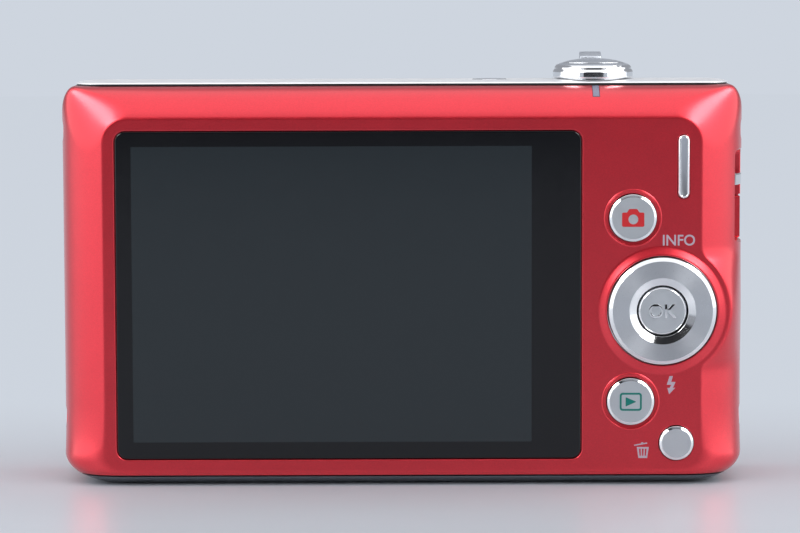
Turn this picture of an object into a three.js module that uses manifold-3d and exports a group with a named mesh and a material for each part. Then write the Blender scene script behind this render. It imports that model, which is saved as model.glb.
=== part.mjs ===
// A compact digital camera: moulded front and back covers around a metal chassis, with a
// telescoping lens, a screen, buttons, a battery door and a terminal door.
// Millimetres, +Z up. The lens looks along -Y and the screen faces +Y, so seen from behind
// +X is to the left. The origin is on the base, in the middle of the overall box.
import * as THREE from "three";
import { mergeVertices } from "three/addons/utils/BufferGeometryUtils.js";
import Module from "manifold-3d";

const wasm = await Module();
wasm.setup();

// ---------------------------------------------------------------- driving dimensions
const HALF_WIDTH = 48.1; // half the body's width
const COVER_TOP = 56.2; // height of the moulded covers
const TOP = 56.85; // height of the metal top plate
const PANEL_Y = 10.6; // flat back panel
const CREST_RISE = 0.3; // how far the frame round the panel stands above it
const FRONT_Y = -9.4; // flat front face
const SEAM_Y = -1.6; // where the back cover ends and the front cover begins
const SEAM_GAP = 0.3;
const WALL = 1.1;
const CLEAR = 0.15; // clearance round a part that sits in a hole
const SEGMENTS = 24;

const LENS = { x: 16.5, z: 27.05 };
const PAD = { x: -36.4, z: 24.7 }; // the four-way pad
const ZOOM = { x: -27.25, y: -0.4 };
const POWER = { x: -12.5, y: -0.4 };
const TRIPOD = { x: 20, y: -0.3 };

// ---------------------------------------------------------------- materials
const finish = (color, roughness, metalness) =>
  new THREE.MeshStandardMaterial({ color, roughness, metalness });
const RED = finish(0xc4202f, 0.35, 0.4);
const SILVER = finish(0xc9ccd1, 0.25, 1);
const CHROME = finish(0xe2e4e8, 0.08, 1);
const BLACK = finish(0x17181a, 0.5, 0);
const GLASS = finish(0x202428, 0.05, 0);
const CLEAR_PLASTIC = finish(0xb8bcc6, 0.2, 0);
const BOARD = finish(0x1d5c3a, 0.6, 0);
const STEEL = finish(0x9a9da1, 0.4, 1);
const LABEL_GREY = finish(0x54585e, 0.6, 0);

// ---------------------------------------------------------------- solids
const camera = new THREE.Group();

// A closed geometry as a solid that can be cut and joined.
function solid(geometry) {
  const g = geometry.clone();
  for (const name of Object.keys(g.attributes)) {
    if (name !== "position") g.deleteAttribute(name);
  }
  const merged = mergeVertices(g.index ? g.toNonIndexed() : g, 1e-4);
  const triVerts = new Uint32Array(merged.index.array);
  const mesh = new wasm.Mesh({
    numProp: 3,
    vertProperties: merged.attributes.position.array,
    triVerts,
  });
  const made = new wasm.Manifold(mesh);
  if (made.volume() >= 0) return made;
  for (let i = 0; i < triVerts.length; i += 3) {
    [triVerts[i + 1], triVerts[i + 2]] = [triVerts[i + 2], triVerts[i + 1]];
  }
  return new wasm.Manifold(new wasm.Mesh({ ...mesh, triVerts }));
}

function geometryOf(made) {
  const m = made.getMesh();
  const positions = new Float32Array(m.numVert * 3);
  for (let i = 0; i < m.numVert; i++) {
    positions.set(m.vertProperties.subarray(i * m.numProp, i * m.numProp + 3), i * 3);
  }
  return new THREE.BufferGeometry()
    .setAttribute("position", new THREE.BufferAttribute(positions, 3))
    .setIndex(new THREE.BufferAttribute(m.triVerts, 1));
}

const cut = (base, ...tools) => tools.reduce((a, b) => a.subtract(b), base);
const join = (first, ...rest) => rest.reduce((a, b) => a.add(b), first);
const common = (a, b) => a.intersect(b);

function node(name, material, made, x = 0, y = 0, z = 0) {
  const mesh = new THREE.Mesh(geometryOf(made), material);
  mesh.name = name;
  mesh.position.set(x, y, z);
  camera.add(mesh);
}

function block([x0, x1], [y0, y1], [z0, z1]) {
  const g = new THREE.BoxGeometry(x1 - x0, y1 - y0, z1 - z0);
  return solid(g.translate((x0 + x1) / 2, (y0 + y1) / 2, (z0 + z1) / 2));
}

// A profile of [radius, height] pairs turned about +Y. It closes on itself or on the axis.
function turned(profile, segments = SEGMENTS) {
  const points = profile.map(([r, h]) => new THREE.Vector2(r, h));
  if (profile[0][0] > 0) points.push(points[0].clone());
  return new THREE.LatheGeometry(points, segments);
}
const turnedY = (profile, x, y, z, segments) =>
  solid(turned(profile, segments).translate(x, y, z));
const turnedZ = (profile, x, y, z, segments) =>
  solid(turned(profile, segments).rotateX(Math.PI / 2).translate(x, y, z));
const turnedX = (profile, x, y, z, segments) =>
  solid(turned(profile, segments).rotateZ(-Math.PI / 2).translate(x, y, z));
const rod = (r, from, to) => [[0, from], [r, from], [r, to], [0, to]];
const tube = (outer, inner, from, to) => [[inner, from], [outer, from], [outer, to], [inner, to]];

function roundedRect([a0, a1], [b0, b1], r) {
  const s = new THREE.Shape();
  s.absarc(a1 - r, b1 - r, r, 0, Math.PI / 2);
  s.absarc(a0 + r, b1 - r, r, Math.PI / 2, Math.PI);
  s.absarc(a0 + r, b0 + r, r, Math.PI, Math.PI * 1.5);
  s.absarc(a1 - r, b0 + r, r, Math.PI * 1.5, Math.PI * 2);
  s.closePath();
  return s;
}
function extruded(shape, depth, curveSegments = 3) {
  return new THREE.ExtrudeGeometry(shape, { depth, bevelEnabled: false, curveSegments });
}
const plateXY = (shape, [z0, z1]) => solid(extruded(shape, z1 - z0).translate(0, 0, z0));
const plateXZ = (shape, [y0, y1]) =>
  solid(extruded(shape, y1 - y0).rotateX(Math.PI / 2).translate(0, y1, 0));
function plateYZ(shape, [x0, x1]) {
  const basis = new THREE.Matrix4().makeBasis(
    new THREE.Vector3(0, 1, 0),
    new THREE.Vector3(0, 0, 1),
    new THREE.Vector3(1, 0, 0),
  );
  return solid(extruded(shape, x1 - x0).applyMatrix4(basis).translate(x0, 0, 0));
}

// Rings of [x, y, z] points, one round each cross-section, skinned and capped flat.
function lofted(rings) {
  const count = rings[0].length;
  const position = rings.flat(2);
  const index = [];
  for (let k = 0; k + 1 < rings.length; k++) {
    for (let i = 0; i < count; i++) {
      const j = (i + 1) % count;
      const [a, b, c, d] = [k * count + i, k * count + j, (k + 1) * count + j, (k + 1) * count + i];
      index.push(a, b, c, a, c, d);
    }
  }
  const cap = (ring, offset, flip) => {
    const contour = ring.map(([x, , z]) => new THREE.Vector2(x, z));
    for (const [a, b, c] of THREE.ShapeUtils.triangulateShape(contour, [])) {
      index.push(...(flip ? [a, c, b] : [a, b, c]).map((v) => v + offset));
    }
  };
  cap(rings[0], 0, true);
  cap(rings[rings.length - 1], (rings.length - 1) * count, false);
  const g = new THREE.BufferGeometry();
  g.setAttribute("position", new THREE.Float32BufferAttribute(position, 3));
  g.setIndex(index);
  return solid(g);
}

// ---------------------------------------------------------------- body outlines
// Each outline is [x, z] points in the same order, so any two can be lofted or mixed.
const CORNER_STEPS = 5;
const BULGE = { radius: 9.8, fillet: 2.2 }; // how the frame goes round the four-way pad
const SIDE = 42.2; // half width of the back panel

// x of the frame's inner edge beside the pad: a circle round the pad, filleted into the side.
function bulgeX(dz, side, radius) {
  const reach = side - Math.abs(PAD.x);
  const { fillet } = BULGE;
  const filletDz = Math.sqrt((radius + fillet) ** 2 - (reach + fillet) ** 2);
  const tangentDz = (filletDz * radius) / (radius + fillet);
  const d = Math.abs(dz);
  if (d >= filletDz) return -side;
  if (d <= tangentDz) return PAD.x - Math.sqrt(radius ** 2 - d ** 2);
  return -(side + fillet) + Math.sqrt(fillet ** 2 - (d - filletDz) ** 2);
}

const SIDE_STEPS = [20, 9, 8.2, 7.4, 6.6, 5.4, 3.8, 2, 0, -2, -3.8, -5.4, -6.6, -7.4, -8.2, -9, -14];

// Corners are quarter ellipses, given as [across, up].
function outline({ side, bottom, top, topCorner, bottomCorner, bulge = 0 }) {
  const points = [];
  const corner = (sx, sz, [rx, rz], from) => {
    const cx = sx * (side - rx);
    const cz = sz > 0 ? top - rz : bottom + rz;
    for (let i = 0; i <= CORNER_STEPS; i++) {
      const a = from + (i / CORNER_STEPS) * (Math.PI / 2);
      points.push([cx + rx * Math.cos(a), cz + rz * Math.sin(a)]);
    }
  };
  corner(1, 1, topCorner, 0);
  corner(-1, 1, topCorner, Math.PI / 2);
  for (const dz of SIDE_STEPS) {
    points.push([bulge ? bulgeX(dz, side, bulge) : -side, PAD.z + dz]);
  }
  corner(-1, -1, bottomCorner, Math.PI);
  corner(1, -1, bottomCorner, Math.PI * 1.5);
  return points;
}
const at = (points, y) => points.map(([x, z]) => [x, y, z]);
const mix = (a, b, t) => a.map(([x, z], i) => [x + (b[i][0] - x) * t, z + (b[i][1] - z) * t]);

const bodyEdge = (inset = 0) =>
  outline({
    side: HALF_WIDTH - inset,
    bottom: inset,
    top: COVER_TOP - inset,
    topCorner: [2 - inset / 2, 4 - inset / 2],
    bottomCorner: [8.4 - inset, 4.3 - inset],
  });
const panelEdge = (inset = 0) =>
  outline({
    side: SIDE - inset,
    bottom: 2.4 + inset,
    top: 52.05 - inset,
    topCorner: [3.8 - inset / 2, 3.8 - inset / 2],
    bottomCorner: [3, 3],
    bulge: BULGE.radius - inset,
  });
const frontEdge = (inset = 0) =>
  outline({
    side: 45.4 - inset,
    bottom: 3 + inset,
    top: 53.35 - inset,
    topCorner: [3 - inset / 2, 4 - inset / 2],
    bottomCorner: [6 - inset, 4 - inset],
  });

// The frame's height above the panel: it dies away towards the bottom edge.
const crest = (z) => PANEL_Y + CREST_RISE * THREE.MathUtils.clamp((z - 4) / 6, 0, 1);

// Rings that sweep from an outer edge to an inner edge along part of an ellipse. For each
// point, start and end give the depths where the sweep starts and ends, from the point's
// height on the outer and inner edge, and sweep gives how far round the ellipse it goes.
function swept(from, to, start, end, sweep, steps) {
  const rings = [];
  for (let k = 0; k <= steps; k++) {
    rings.push(from.map(([x, z], i) => {
      const [toX, toZ] = to[i];
      const limit = sweep(z);
      const angle = (limit * k) / steps;
      const across = 1 - (Math.cos(angle) - Math.cos(limit)) / (1 - Math.cos(limit));
      const along = Math.sin(angle) / Math.sin(limit);
      const y0 = start(z);
      return [x + (toX - x) * across, y0 + (end(toZ) - y0) * along, z + (toZ - z) * across];
    }));
  }
  return rings;
}

// The back cover's sides curve in over a long way and end in the frame's crest. Its top starts
// to curve further back, and its bottom has a tighter edge, which runs smoothly into the panel.
const RIM = { y: 3.2, sweep: THREE.MathUtils.degToRad(62) };
const TOP_RIM = { y: 4.9, sweep: THREE.MathUtils.degToRad(55) };
const BOTTOM_RIM = { y: 6, sweep: Math.PI / 2 };
const upTheSide = (bottom, side, top) => (z) => {
  const { lerp, smoothstep } = THREE.MathUtils;
  return lerp(lerp(bottom, side, smoothstep(z, 0.5, 7)), top, smoothstep(z, 51, 56));
};
const backRim = upTheSide(BOTTOM_RIM.y, RIM.y, TOP_RIM.y);
const backSweep = upTheSide(BOTTOM_RIM.sweep, RIM.sweep, TOP_RIM.sweep);
const FRONT_RIM_Y = -4.4;

const backOuter = lofted([
  at(bodyEdge(), SEAM_Y),
  ...swept(bodyEdge(), panelEdge(), backRim, crest, backSweep, 5),
  at(panelEdge(0.35), PANEL_Y),
]);
const frontOuter = lofted([
  ...swept(bodyEdge(), frontEdge(), () => FRONT_RIM_Y, () => FRONT_Y, () => Math.PI / 2, 5)
    .reverse(),
  at(bodyEdge(), SEAM_Y - SEAM_GAP),
]);
const backInner = lofted([
  at(bodyEdge(WALL), SEAM_Y - 1),
  at(bodyEdge(WALL), RIM.y),
  at(mix(bodyEdge(WALL), panelEdge(0.9), 0.3), 6.6),
  at(mix(bodyEdge(WALL), panelEdge(0.9), 0.87), PANEL_Y - 1.6),
]);
const frontInner = lofted([
  at(frontEdge(0.8), FRONT_Y + WALL),
  at(bodyEdge(WALL), FRONT_RIM_Y),
  at(bodyEdge(WALL), SEAM_Y + 1),
]);
const filledBody = lofted([
  at(bodyEdge(), FRONT_RIM_Y - 2),
  ...swept(bodyEdge(), panelEdge(), backRim, () => PANEL_Y, backSweep, 5),
]);

// ---------------------------------------------------------------- top plate and base plate
const PLATE_FRONT = -6.4;
const TOP_PLATE_BACK = 5.5;
const PLATE_END = 46.3;
const PLATE_CORNER = 4;
const BASE_SEAM_Z = 1.5; // the covers' lower edge
const BASE_RIB_TOP = 1.9; // the base plate's inner ribs

const topSlot = block(
  [-PLATE_END - 0.3, PLATE_END + 0.3],
  [PLATE_FRONT - 0.3, TOP_PLATE_BACK + 0.3],
  [TOP - 1.5, TOP + 5],
);
const baseSlot = block(
  [-HALF_WIDTH, HALF_WIDTH],
  [PLATE_FRONT - 0.3, PANEL_Y + 2],
  [-5, BASE_SEAM_Z],
);
const tripodRoom = turnedZ(rod(6.1, -1, 3.6), TRIPOD.x, TRIPOD.y, 0);
const doorRoom = block([-43.6, -5.6], [PLATE_FRONT - 0.3, 6.6], [-5, BASE_RIB_TOP + 0.4]);

// The covers open under the plate for the shutter, the power button and the speaker.
const topHoles = [
  turnedZ(rod(4.8, -6, 3), ZOOM.x, ZOOM.y, TOP),
  turnedZ(rod(3.6, -6, 3), POWER.x, POWER.y, TOP),
  block([32.6, 41.2], [-0.8, 0.8], [TOP - 4, TOP]),
];

// ---------------------------------------------------------------- back cover
const WINDOW = { x: [-25.05, 40.15], z: [3.85, 49.95], radius: 1.4 };
const BUTTONS = {
  record_button: { x: -32.25, z: 37.75, radius: 3.3 },
  play_button: { x: -32.0, z: 11.9, radius: 3.3 },
  delete_button: { x: -38.45, z: 6, radius: 2.4 },
};
const THUMB_REST = { x: -39.35, z: [40.45, 49.35], halfWidth: 0.8 };
const LAMP = { x: [-27.68, -26.78], z: [54.65, 56.55] };
const COLLAR = { top: 7.75, foot: 9.3, rise: 0.45 }; // the low cone round the four-way pad
const STRAP_POCKET = { y: [-0.3, 7.6], z: [40.85, 46.95], floor: -45.4, corner: 0.8 };
const TERMINAL_POCKET = { y: [-0.3, 7.6], z: [34.15, 40.45], floor: -45.4, corner: 0.2 };
const SIDE_SCREWS = { y: 3.9, z: [9.2, 49.9], radius: 1.5 };

const outwards = (spans, by) => [spans[0] - by, spans[1] + by];
const windowShape = (grow) =>
  roundedRect(outwards(WINDOW.x, grow), outwards(WINDOW.z, grow), WINDOW.radius + grow);
const ledgeShape = roundedRect([-23.3, 38.8], [5.45, 48.45], 1);
const restShape = (grow) =>
  roundedRect(
    [THUMB_REST.x - THUMB_REST.halfWidth - grow, THUMB_REST.x + THUMB_REST.halfWidth + grow],
    outwards(THUMB_REST.z, grow),
    THUMB_REST.halfWidth + grow - 0.01,
  );
const pocket = (p) =>
  plateYZ(roundedRect(p.y, p.z, p.corner), [-HALF_WIDTH - 2, p.floor]);

function sideScrewHoles(side) {
  return SIDE_SCREWS.z.map((z) =>
    turnedX([[0, -3], [0.85, -3], [0.85, -1.4], [SIDE_SCREWS.radius, -1.4],
      [SIDE_SCREWS.radius, 1], [0, 1]].map(([r, h]) => [r, h * side]),
    side * HALF_WIDTH, SIDE_SCREWS.y, z, 12));
}

function makeBackCover() {
  const collar = turnedY(
    [[COLLAR.top, -0.5], [COLLAR.foot, -0.5], [COLLAR.foot, 0], [COLLAR.top, COLLAR.rise]],
    PAD.x, PANEL_Y, PAD.z, 32,
  );
  const pocketBacking = common(
    block([-HALF_WIDTH - 1, -44.2], [SEAM_Y, 8.4], [33.35, 47.75]), backOuter);
  const shell = join(cut(backOuter, backInner), collar, pocketBacking);
  const buttonHoles = Object.values(BUTTONS).map(({ x, z, radius }) =>
    turnedY(rod(radius + CLEAR, -3, 2), x, PANEL_Y, z));
  return cut(
    shell,
    topSlot,
    baseSlot,
    doorRoom,
    tripodRoom,
    ...topHoles,
    plateXZ(windowShape(0.15), [PANEL_Y - 0.95, PANEL_Y + 1]),
    plateXZ(ledgeShape, [PANEL_Y - 3, PANEL_Y + 1]),
    plateXZ(restShape(0.1), [PANEL_Y - 3, PANEL_Y + 1]),
    turnedY(rod(COLLAR.top, -3, 2), PAD.x, PANEL_Y, PAD.z, 32),
    ...buttonHoles,
    block(outwards(LAMP.x, 0.1), [4, 9], outwards(LAMP.z, 0.1)),
    pocket(STRAP_POCKET),
    pocket(TERMINAL_POCKET),
    block([-47, -44], [1.3, 4.5], [34.75, 39.95]),
    ...sideScrewHoles(1),
    ...sideScrewHoles(-1),
  );
}
node("back_cover", RED, makeBackCover());

node("display_window", GLASS, plateXZ(windowShape(0), [PANEL_Y - 0.85, PANEL_Y - 0.05]));
node("thumb_rest", CHROME, plateXZ(restShape(0), [PANEL_Y - 2.2, PANEL_Y + 0.4]));

// The lamp's light guide fills a notch in the sloping top of the frame.
node(
  "status_lamp",
  CLEAR_PLASTIC,
  common(block(LAMP.x, [5.9, 8.8], [LAMP.z[0], COVER_TOP - 0.1]), backOuter),
);

// ---------------------------------------------------------------- front cover and its windows
const FLASH = { x: [-18.5, -4.5], z: [42.25, 48.45] };
const AF_LAMP = { x: -24.5, z: 45.35, radius: 1.9 };
const MIC = { x: -31.5, z: 45.35 };
const LENS_HOLE = 15.4;

function makeFrontCover() {
  const micHoles = [-1.4, 0, 1.4].map((dx) =>
    turnedY(rod(0.35, -2, 2), MIC.x + dx, FRONT_Y, MIC.z, 10));
  return cut(
    frontOuter,
    frontInner,
    topSlot,
    baseSlot,
    doorRoom,
    tripodRoom,
    ...topHoles,
    turnedY(rod(LENS_HOLE, -4, 4), LENS.x, FRONT_Y, LENS.z, 48),
    plateXZ(roundedRect(outwards(FLASH.x, CLEAR), outwards(FLASH.z, CLEAR), 1.2), [-12, -7]),
    turnedY(rod(AF_LAMP.radius + CLEAR, -2, 2), AF_LAMP.x, FRONT_Y, AF_LAMP.z, 16),
    ...micHoles,
  );
}
node("front_cover", RED, makeFrontCover());
node("flash_window", CLEAR_PLASTIC,
  plateXZ(roundedRect(FLASH.x, FLASH.z, 1.1), [FRONT_Y - 0.05, FRONT_Y + 1.1]));
node("focus_lamp", CLEAR_PLASTIC,
  turnedY([[0, 1.1], [AF_LAMP.radius, 1.1], [AF_LAMP.radius, 0], [1.2, -0.2], [0, -0.3]],
    0, 0, 0, 16), AF_LAMP.x, FRONT_Y, AF_LAMP.z);

// ---------------------------------------------------------------- top plate
const SPEAKER_X = [33.5, 35.2, 36.9, 38.6, 40.3];

function makeTopPlate() {
  const plan = plateXY(
    roundedRect([-PLATE_END, PLATE_END], [PLATE_FRONT, TOP_PLATE_BACK], PLATE_CORNER),
    [TOP - 3, TOP + 1],
  );
  const section = new THREE.Shape();
  section.moveTo(PLATE_FRONT, TOP - 1.1);
  section.lineTo(TOP_PLATE_BACK, TOP - 1.1);
  section.lineTo(TOP_PLATE_BACK, TOP - 0.45);
  section.lineTo(TOP_PLATE_BACK - 0.5, TOP - 0.1);
  section.lineTo(TOP_PLATE_BACK - 2, TOP);
  section.lineTo(PLATE_FRONT + 2, TOP);
  section.lineTo(PLATE_FRONT + 0.5, TOP - 0.1);
  section.lineTo(PLATE_FRONT, TOP - 0.45);
  section.closePath();
  return cut(
    common(plateYZ(section, [-PLATE_END, PLATE_END]), plan),
    turnedZ(rod(4.7, -3, 3), ZOOM.x, ZOOM.y, TOP),
    turnedZ(rod(2.75, -3, 3), POWER.x, POWER.y, TOP),
    ...SPEAKER_X.map((x) => turnedZ(rod(0.45, -3, 3), x, 0, TOP, 8)),
  );
}
node("top_plate", SILVER, makeTopPlate());

// ---------------------------------------------------------------- shutter, zoom and power
// A ring with a finger tab, on a hub that holds the shutter button's spring.
function makeZoomLever() {
  const ring = turnedZ(
    [[4.35, -0.2], [4.35, 2.66], [5.0, 2.45], [5.45, 2.1], [5.7, 1.6], [5.7, 0.2], [4.5, 0.2],
      [4.5, -2], [1.2, -2], [1.2, -1.6], [3.6, -1.6], [3.6, -0.2]],
    0, 0, 0, 32,
  );
  const tabSide = new THREE.Shape();
  tabSide.moveTo(-5, 0.5);
  tabSide.lineTo(-5, 3.1);
  tabSide.lineTo(-5.6, 3.6);
  tabSide.lineTo(-6.3, 3.7);
  tabSide.lineTo(-7.1, 3.1);
  tabSide.lineTo(-7, 1.4);
  tabSide.lineTo(-6.2, 0.5);
  tabSide.closePath();
  return join(ring, plateYZ(tabSide, [-1.45, 1.45]));
}
node("zoom_lever", CHROME, makeZoomLever(), ZOOM.x, ZOOM.y, TOP);
node(
  "shutter_button",
  CHROME,
  turnedZ(
    [[0, -3.5], [0.9, -3.5], [0.9, -0.5], [2, -0.5], [2, 0.9], [4.2, 0.9], [4.2, 2.7],
      [3.3, 2.93], [1.8, 3.1], [0, 3.15]],
    0, 0, 0,
  ),
  ZOOM.x, ZOOM.y, TOP,
);

class Helix extends THREE.Curve {
  constructor(radius, height, turns) {
    super();
    Object.assign(this, { radius, height, turns });
  }
  getPoint(t, target = new THREE.Vector3()) {
    const a = t * this.turns * Math.PI * 2;
    return target.set(this.radius * Math.cos(a), this.radius * Math.sin(a), this.height * t);
  }
}
const wire = new THREE.Shape(
  [0, 1, 2, 3, 4, 5].map((i) => {
    const a = (i / 6) * Math.PI * 2;
    return new THREE.Vector2(0.16 * Math.cos(a), 0.16 * Math.sin(a));
  }),
);
const SPRING = { foot: TOP - 1.4, height: 1.45 };
node(
  "shutter_spring",
  STEEL,
  solid(new THREE.ExtrudeGeometry(wire, {
    steps: 42,
    extrudePath: new Helix(2.8, SPRING.height, 3),
  })),
  ZOOM.x, ZOOM.y, SPRING.foot,
);
node(
  "power_button",
  CHROME,
  turnedZ(
    [[0, -4.2], [0.8, -4.2], [0.8, -1.9], [3.2, -1.9], [3.2, -1.3], [2.6, -1.3], [2.6, -0.15],
      [2.4, 0.02], [0, 0.05]],
    0, 0, 0,
  ),
  POWER.x, POWER.y, TOP,
);

// ---------------------------------------------------------------- buttons on the back
// A round cap with a chamfered rim, held behind the cover by its flange, and a plunger.
const buttonProfile = (r, rise) => [
  [0, -3.25], [0.9, -3.25], [0.9, -2.5], [r + 0.7, -2.5], [r + 0.7, -1.9], [r, -1.9],
  [r, rise - 0.25], [r - 0.4, rise], [0, rise],
];
for (const [name, { x, z, radius }] of Object.entries(BUTTONS)) {
  node(name, CHROME, turnedY(buttonProfile(radius, 0.55), 0, 0, 0), x, PANEL_Y, z);
}

node(
  "control_ring",
  CHROME,
  turnedY(
    [[3.6, -2.7], [8.4, -2.7], [8.4, -2.2], [7.5, -2.2], [7.5, 0.85], [7.0, 1.2], [4.65, 1.12],
      [3.6, 0.75]],
    0, 0, 0, 36,
  ),
  PAD.x, PANEL_Y, PAD.z,
);
node("control_carrier", BLACK, turnedY(tube(5.2, 3.9, -3.3, -2.95), 0, 0, 0),
  PAD.x, PANEL_Y, PAD.z);
node(
  "set_button",
  CHROME,
  turnedY(
    [[0, -3.3], [3.7, -3.3], [3.7, -3], [3.35, -3], [3.35, 0.55], [3.15, 0.75], [0, 0.8]],
    0, 0, 0,
  ),
  PAD.x, PANEL_Y, PAD.z,
);

// ---------------------------------------------------------------- strap bar, terminal door
// Outer face of the body's side at a depth y, on the curved part behind the rim.
const sideX = (y) => {
  if (y <= RIM.y) return HALF_WIDTH;
  const along = ((y - RIM.y) / (PANEL_Y + CREST_RISE - RIM.y)) * Math.sin(RIM.sweep);
  const across = (Math.sqrt(1 - along ** 2) - Math.cos(RIM.sweep)) / (1 - Math.cos(RIM.sweep));
  return SIDE + (HALF_WIDTH - SIDE) * across;
};

// A flat staple bent over the strap pocket: the cord passes under its middle.
function makeStrapBar() {
  const bar = new THREE.Shape();
  const foot = -45.6;
  const depths = [0, 3.2, 4.6, 5.8, 6.8, 7.4];
  depths.forEach((y, i) => (i ? bar.lineTo(-sideX(y), y) : bar.moveTo(-sideX(y), y)));
  bar.lineTo(foot, 7.4);
  bar.lineTo(foot, 6.5);
  bar.lineTo(-sideX(6.5) + 0.8, 6.5);
  bar.lineTo(-HALF_WIDTH + 0.8, 3.6);
  bar.lineTo(-HALF_WIDTH + 0.8, 0.8);
  bar.lineTo(foot, 0.8);
  bar.lineTo(foot, 0);
  bar.closePath();
  return plateXY(bar, [42.05, 43.65]);
}
node("strap_bar", CHROME, makeStrapBar());

const TERMINAL_HINGE = { x: -47.6, y: 0.35 };
function makeTerminalDoor() {
  const { z } = TERMINAL_POCKET;
  const span = [z[0] + 0.2, z[1] - 0.2];
  const leaf = new THREE.Shape();
  const depths = [TERMINAL_HINGE.y, 3.2, 4.6, 5.8, 6.8, 7.4];
  depths.forEach((y, i) => (i ? leaf.lineTo(-sideX(y), y) : leaf.moveTo(-sideX(y), y)));
  [...depths].reverse().forEach((y) => leaf.lineTo(-sideX(y) + (y > 6 ? 0.5 : 0.9), y));
  leaf.closePath();
  const knuckle = turnedZ(rod(0.47, ...span), TERMINAL_HINGE.x, TERMINAL_HINGE.y, 0, 12);
  return join(plateXY(leaf, span), knuckle);
}
node("terminal_door", RED, makeTerminalDoor());
node("terminal_connector", STEEL, cut(
  block([-46.6, -42.2], [1.5, 4.3], [34.95, 39.75]),
  block([-47, -43], [1.8, 2.5], [35.35, 39.35]),
  block([-47, -43], [3.2, 4.0], [35.35, 39.35]),
));

// ---------------------------------------------------------------- base plate and battery door
const DOOR = { x: [-41.6, -7.6], y: [-5.4, 5.3], thick: 1.2 };
const HINGE = { y: -5.4, z: 0.85, radius: 0.75, bore: 0.42, pin: 0.34 };
const LATCH = { x: [-29, -20], y: [1.6, 4.2] };
const BASE_SCREWS = [{ x: 2.5, y: 2 }, { x: 38, y: 2 }];

function makeBasePlate() {
  const skin = common(filledBody, block(
    [-HALF_WIDTH, HALF_WIDTH], [PLATE_FRONT, PANEL_Y], [-1, BASE_SEAM_Z - 0.25]));
  const rib = block([-39, 39.8], [-4.2, 3], [0.6, BASE_RIB_TOP]);
  const doorFrame = block([-43.2, -6], [PLATE_FRONT, 6.2], [0.6, BASE_RIB_TOP]);
  const screwHoles = BASE_SCREWS.map(({ x, y }) =>
    turnedZ([[0, -1], [1.45, -1], [1.45, 1], [0.85, 1], [0.85, 4], [0, 4]], x, y, 0, 12));
  return cut(
    join(skin, rib, doorFrame),
    block(outwards(DOOR.x, 0.2), [PLATE_FRONT - 1, DOOR.y[1] + 0.2], [-1, 5]),
    turnedX(rod(HINGE.bore, DOOR.x[0] - 1.2, DOOR.x[1] + 1.2), 0, HINGE.y, HINGE.z, 12),
    turnedZ(rod(4.75, -1, 5), TRIPOD.x, TRIPOD.y, 0),
    ...screwHoles,
  );
}
node("base_plate", SILVER, makeBasePlate());

function makeBatteryDoor() {
  const leaf = block(DOOR.x, DOOR.y, [0.02, DOOR.thick]);
  const knuckle = turnedX(rod(HINGE.radius, ...DOOR.x), 0, HINGE.y, HINGE.z, 12);
  const latchSlot = block(
    [LATCH.x[0] - 0.2, LATCH.x[1] + 2.2], outwards(LATCH.y, 0.2), [-1, 0.75]);
  const bore = turnedX(rod(HINGE.bore, DOOR.x[0] - 1, DOOR.x[1] + 1), 0, HINGE.y, HINGE.z, 12);
  return cut(join(leaf, knuckle), latchSlot, bore);
}
node("battery_door", SILVER, makeBatteryDoor());
node("battery_door_pin", STEEL,
  turnedX(rod(HINGE.pin, DOOR.x[0] - 1.1, DOOR.x[1] + 1.1), 0, HINGE.y, HINGE.z, 10));
node("battery_latch", BLACK, cut(
  block(LATCH.x, LATCH.y, [0.1, 0.65]),
  ...[-1.2, 0, 1.2].map((dx) =>
    block([-24.5 + dx - 0.25, -24.5 + dx + 0.25], [2.1, 3.7], [0, 0.3])),
));

// The tripod socket's nut: its face is flush with the base, and a flange holds it in.
const SOCKET_RADIUS = 2.6; // the minor radius of its 1/4-20 thread
node(
  "tripod_nut",
  STEEL,
  turnedZ(
    [[0, 5.6], [SOCKET_RADIUS, 5.6], [SOCKET_RADIUS, 0.05], [4.6, 0.05], [4.6, 2.1], [5.8, 2.1],
      [5.8, 3.1], [4.6, 3.1], [4.6, 6.8], [0, 6.8]],
    0, 0, 0,
  ),
  TRIPOD.x, TRIPOD.y, 0,
);

// ---------------------------------------------------------------- screws
const screwProfile = [[0, 0], [1.25, 0], [1.25, 0.7], [0.7, 0.7], [0.7, 3], [0, 3]];
[["left", 1], ["right", -1]].forEach(([side, sign]) => {
  SIDE_SCREWS.z.forEach((z, i) => {
    const level = i ? "upper" : "lower";
    const made = turnedX(screwProfile.map(([r, h]) => [r, -h * sign]), 0, 0, 0, 12);
    node(`side_screw_${side}_${level}`, STEEL, made, sign * (HALF_WIDTH - 0.6), SIDE_SCREWS.y, z);
  });
});
BASE_SCREWS.forEach(({ x, y }, i) => {
  node(`base_screw_${i + 1}`, STEEL, turnedZ(screwProfile, 0, 0, 0, 12), x, y, 0.2);
});

// ---------------------------------------------------------------- lens
const RING = { outer: 19, inner: 14, front: -11.8 };
const BARREL = {
  outer: { radius: 13.6, inner: 12.5, y: [-11.5, 0.5] },
  inner: { radius: 12.2, inner: 11.1, y: [-11.7, -0.7] },
};
const CAP_OPENING = 5;
const BLADE = { y: [-10.75, -10.4], pivot: 8.3, radius: 5.5, ear: 1.1 };

node(
  "lens_ring",
  CHROME,
  turnedY(
    [[RING.inner, FRONT_Y + 1], [15.2, FRONT_Y + 1], [15.2, FRONT_Y - 0.1],
      [RING.outer, FRONT_Y - 0.1], [RING.outer - 0.3, FRONT_Y - 0.8], [17.2, RING.front + 0.2],
      [16.4, RING.front], [RING.inner + 0.4, RING.front + 0.1], [RING.inner, RING.front + 0.5]],
    0, 0, 0, 48,
  ),
  LENS.x, 0, LENS.z,
);

const outerBarrel = BARREL.outer;
node("barrel_outer", SILVER,
  turnedY(tube(outerBarrel.radius, outerBarrel.inner, ...outerBarrel.y), 0, 0, 0, 36),
  LENS.x, 0, LENS.z);

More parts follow.
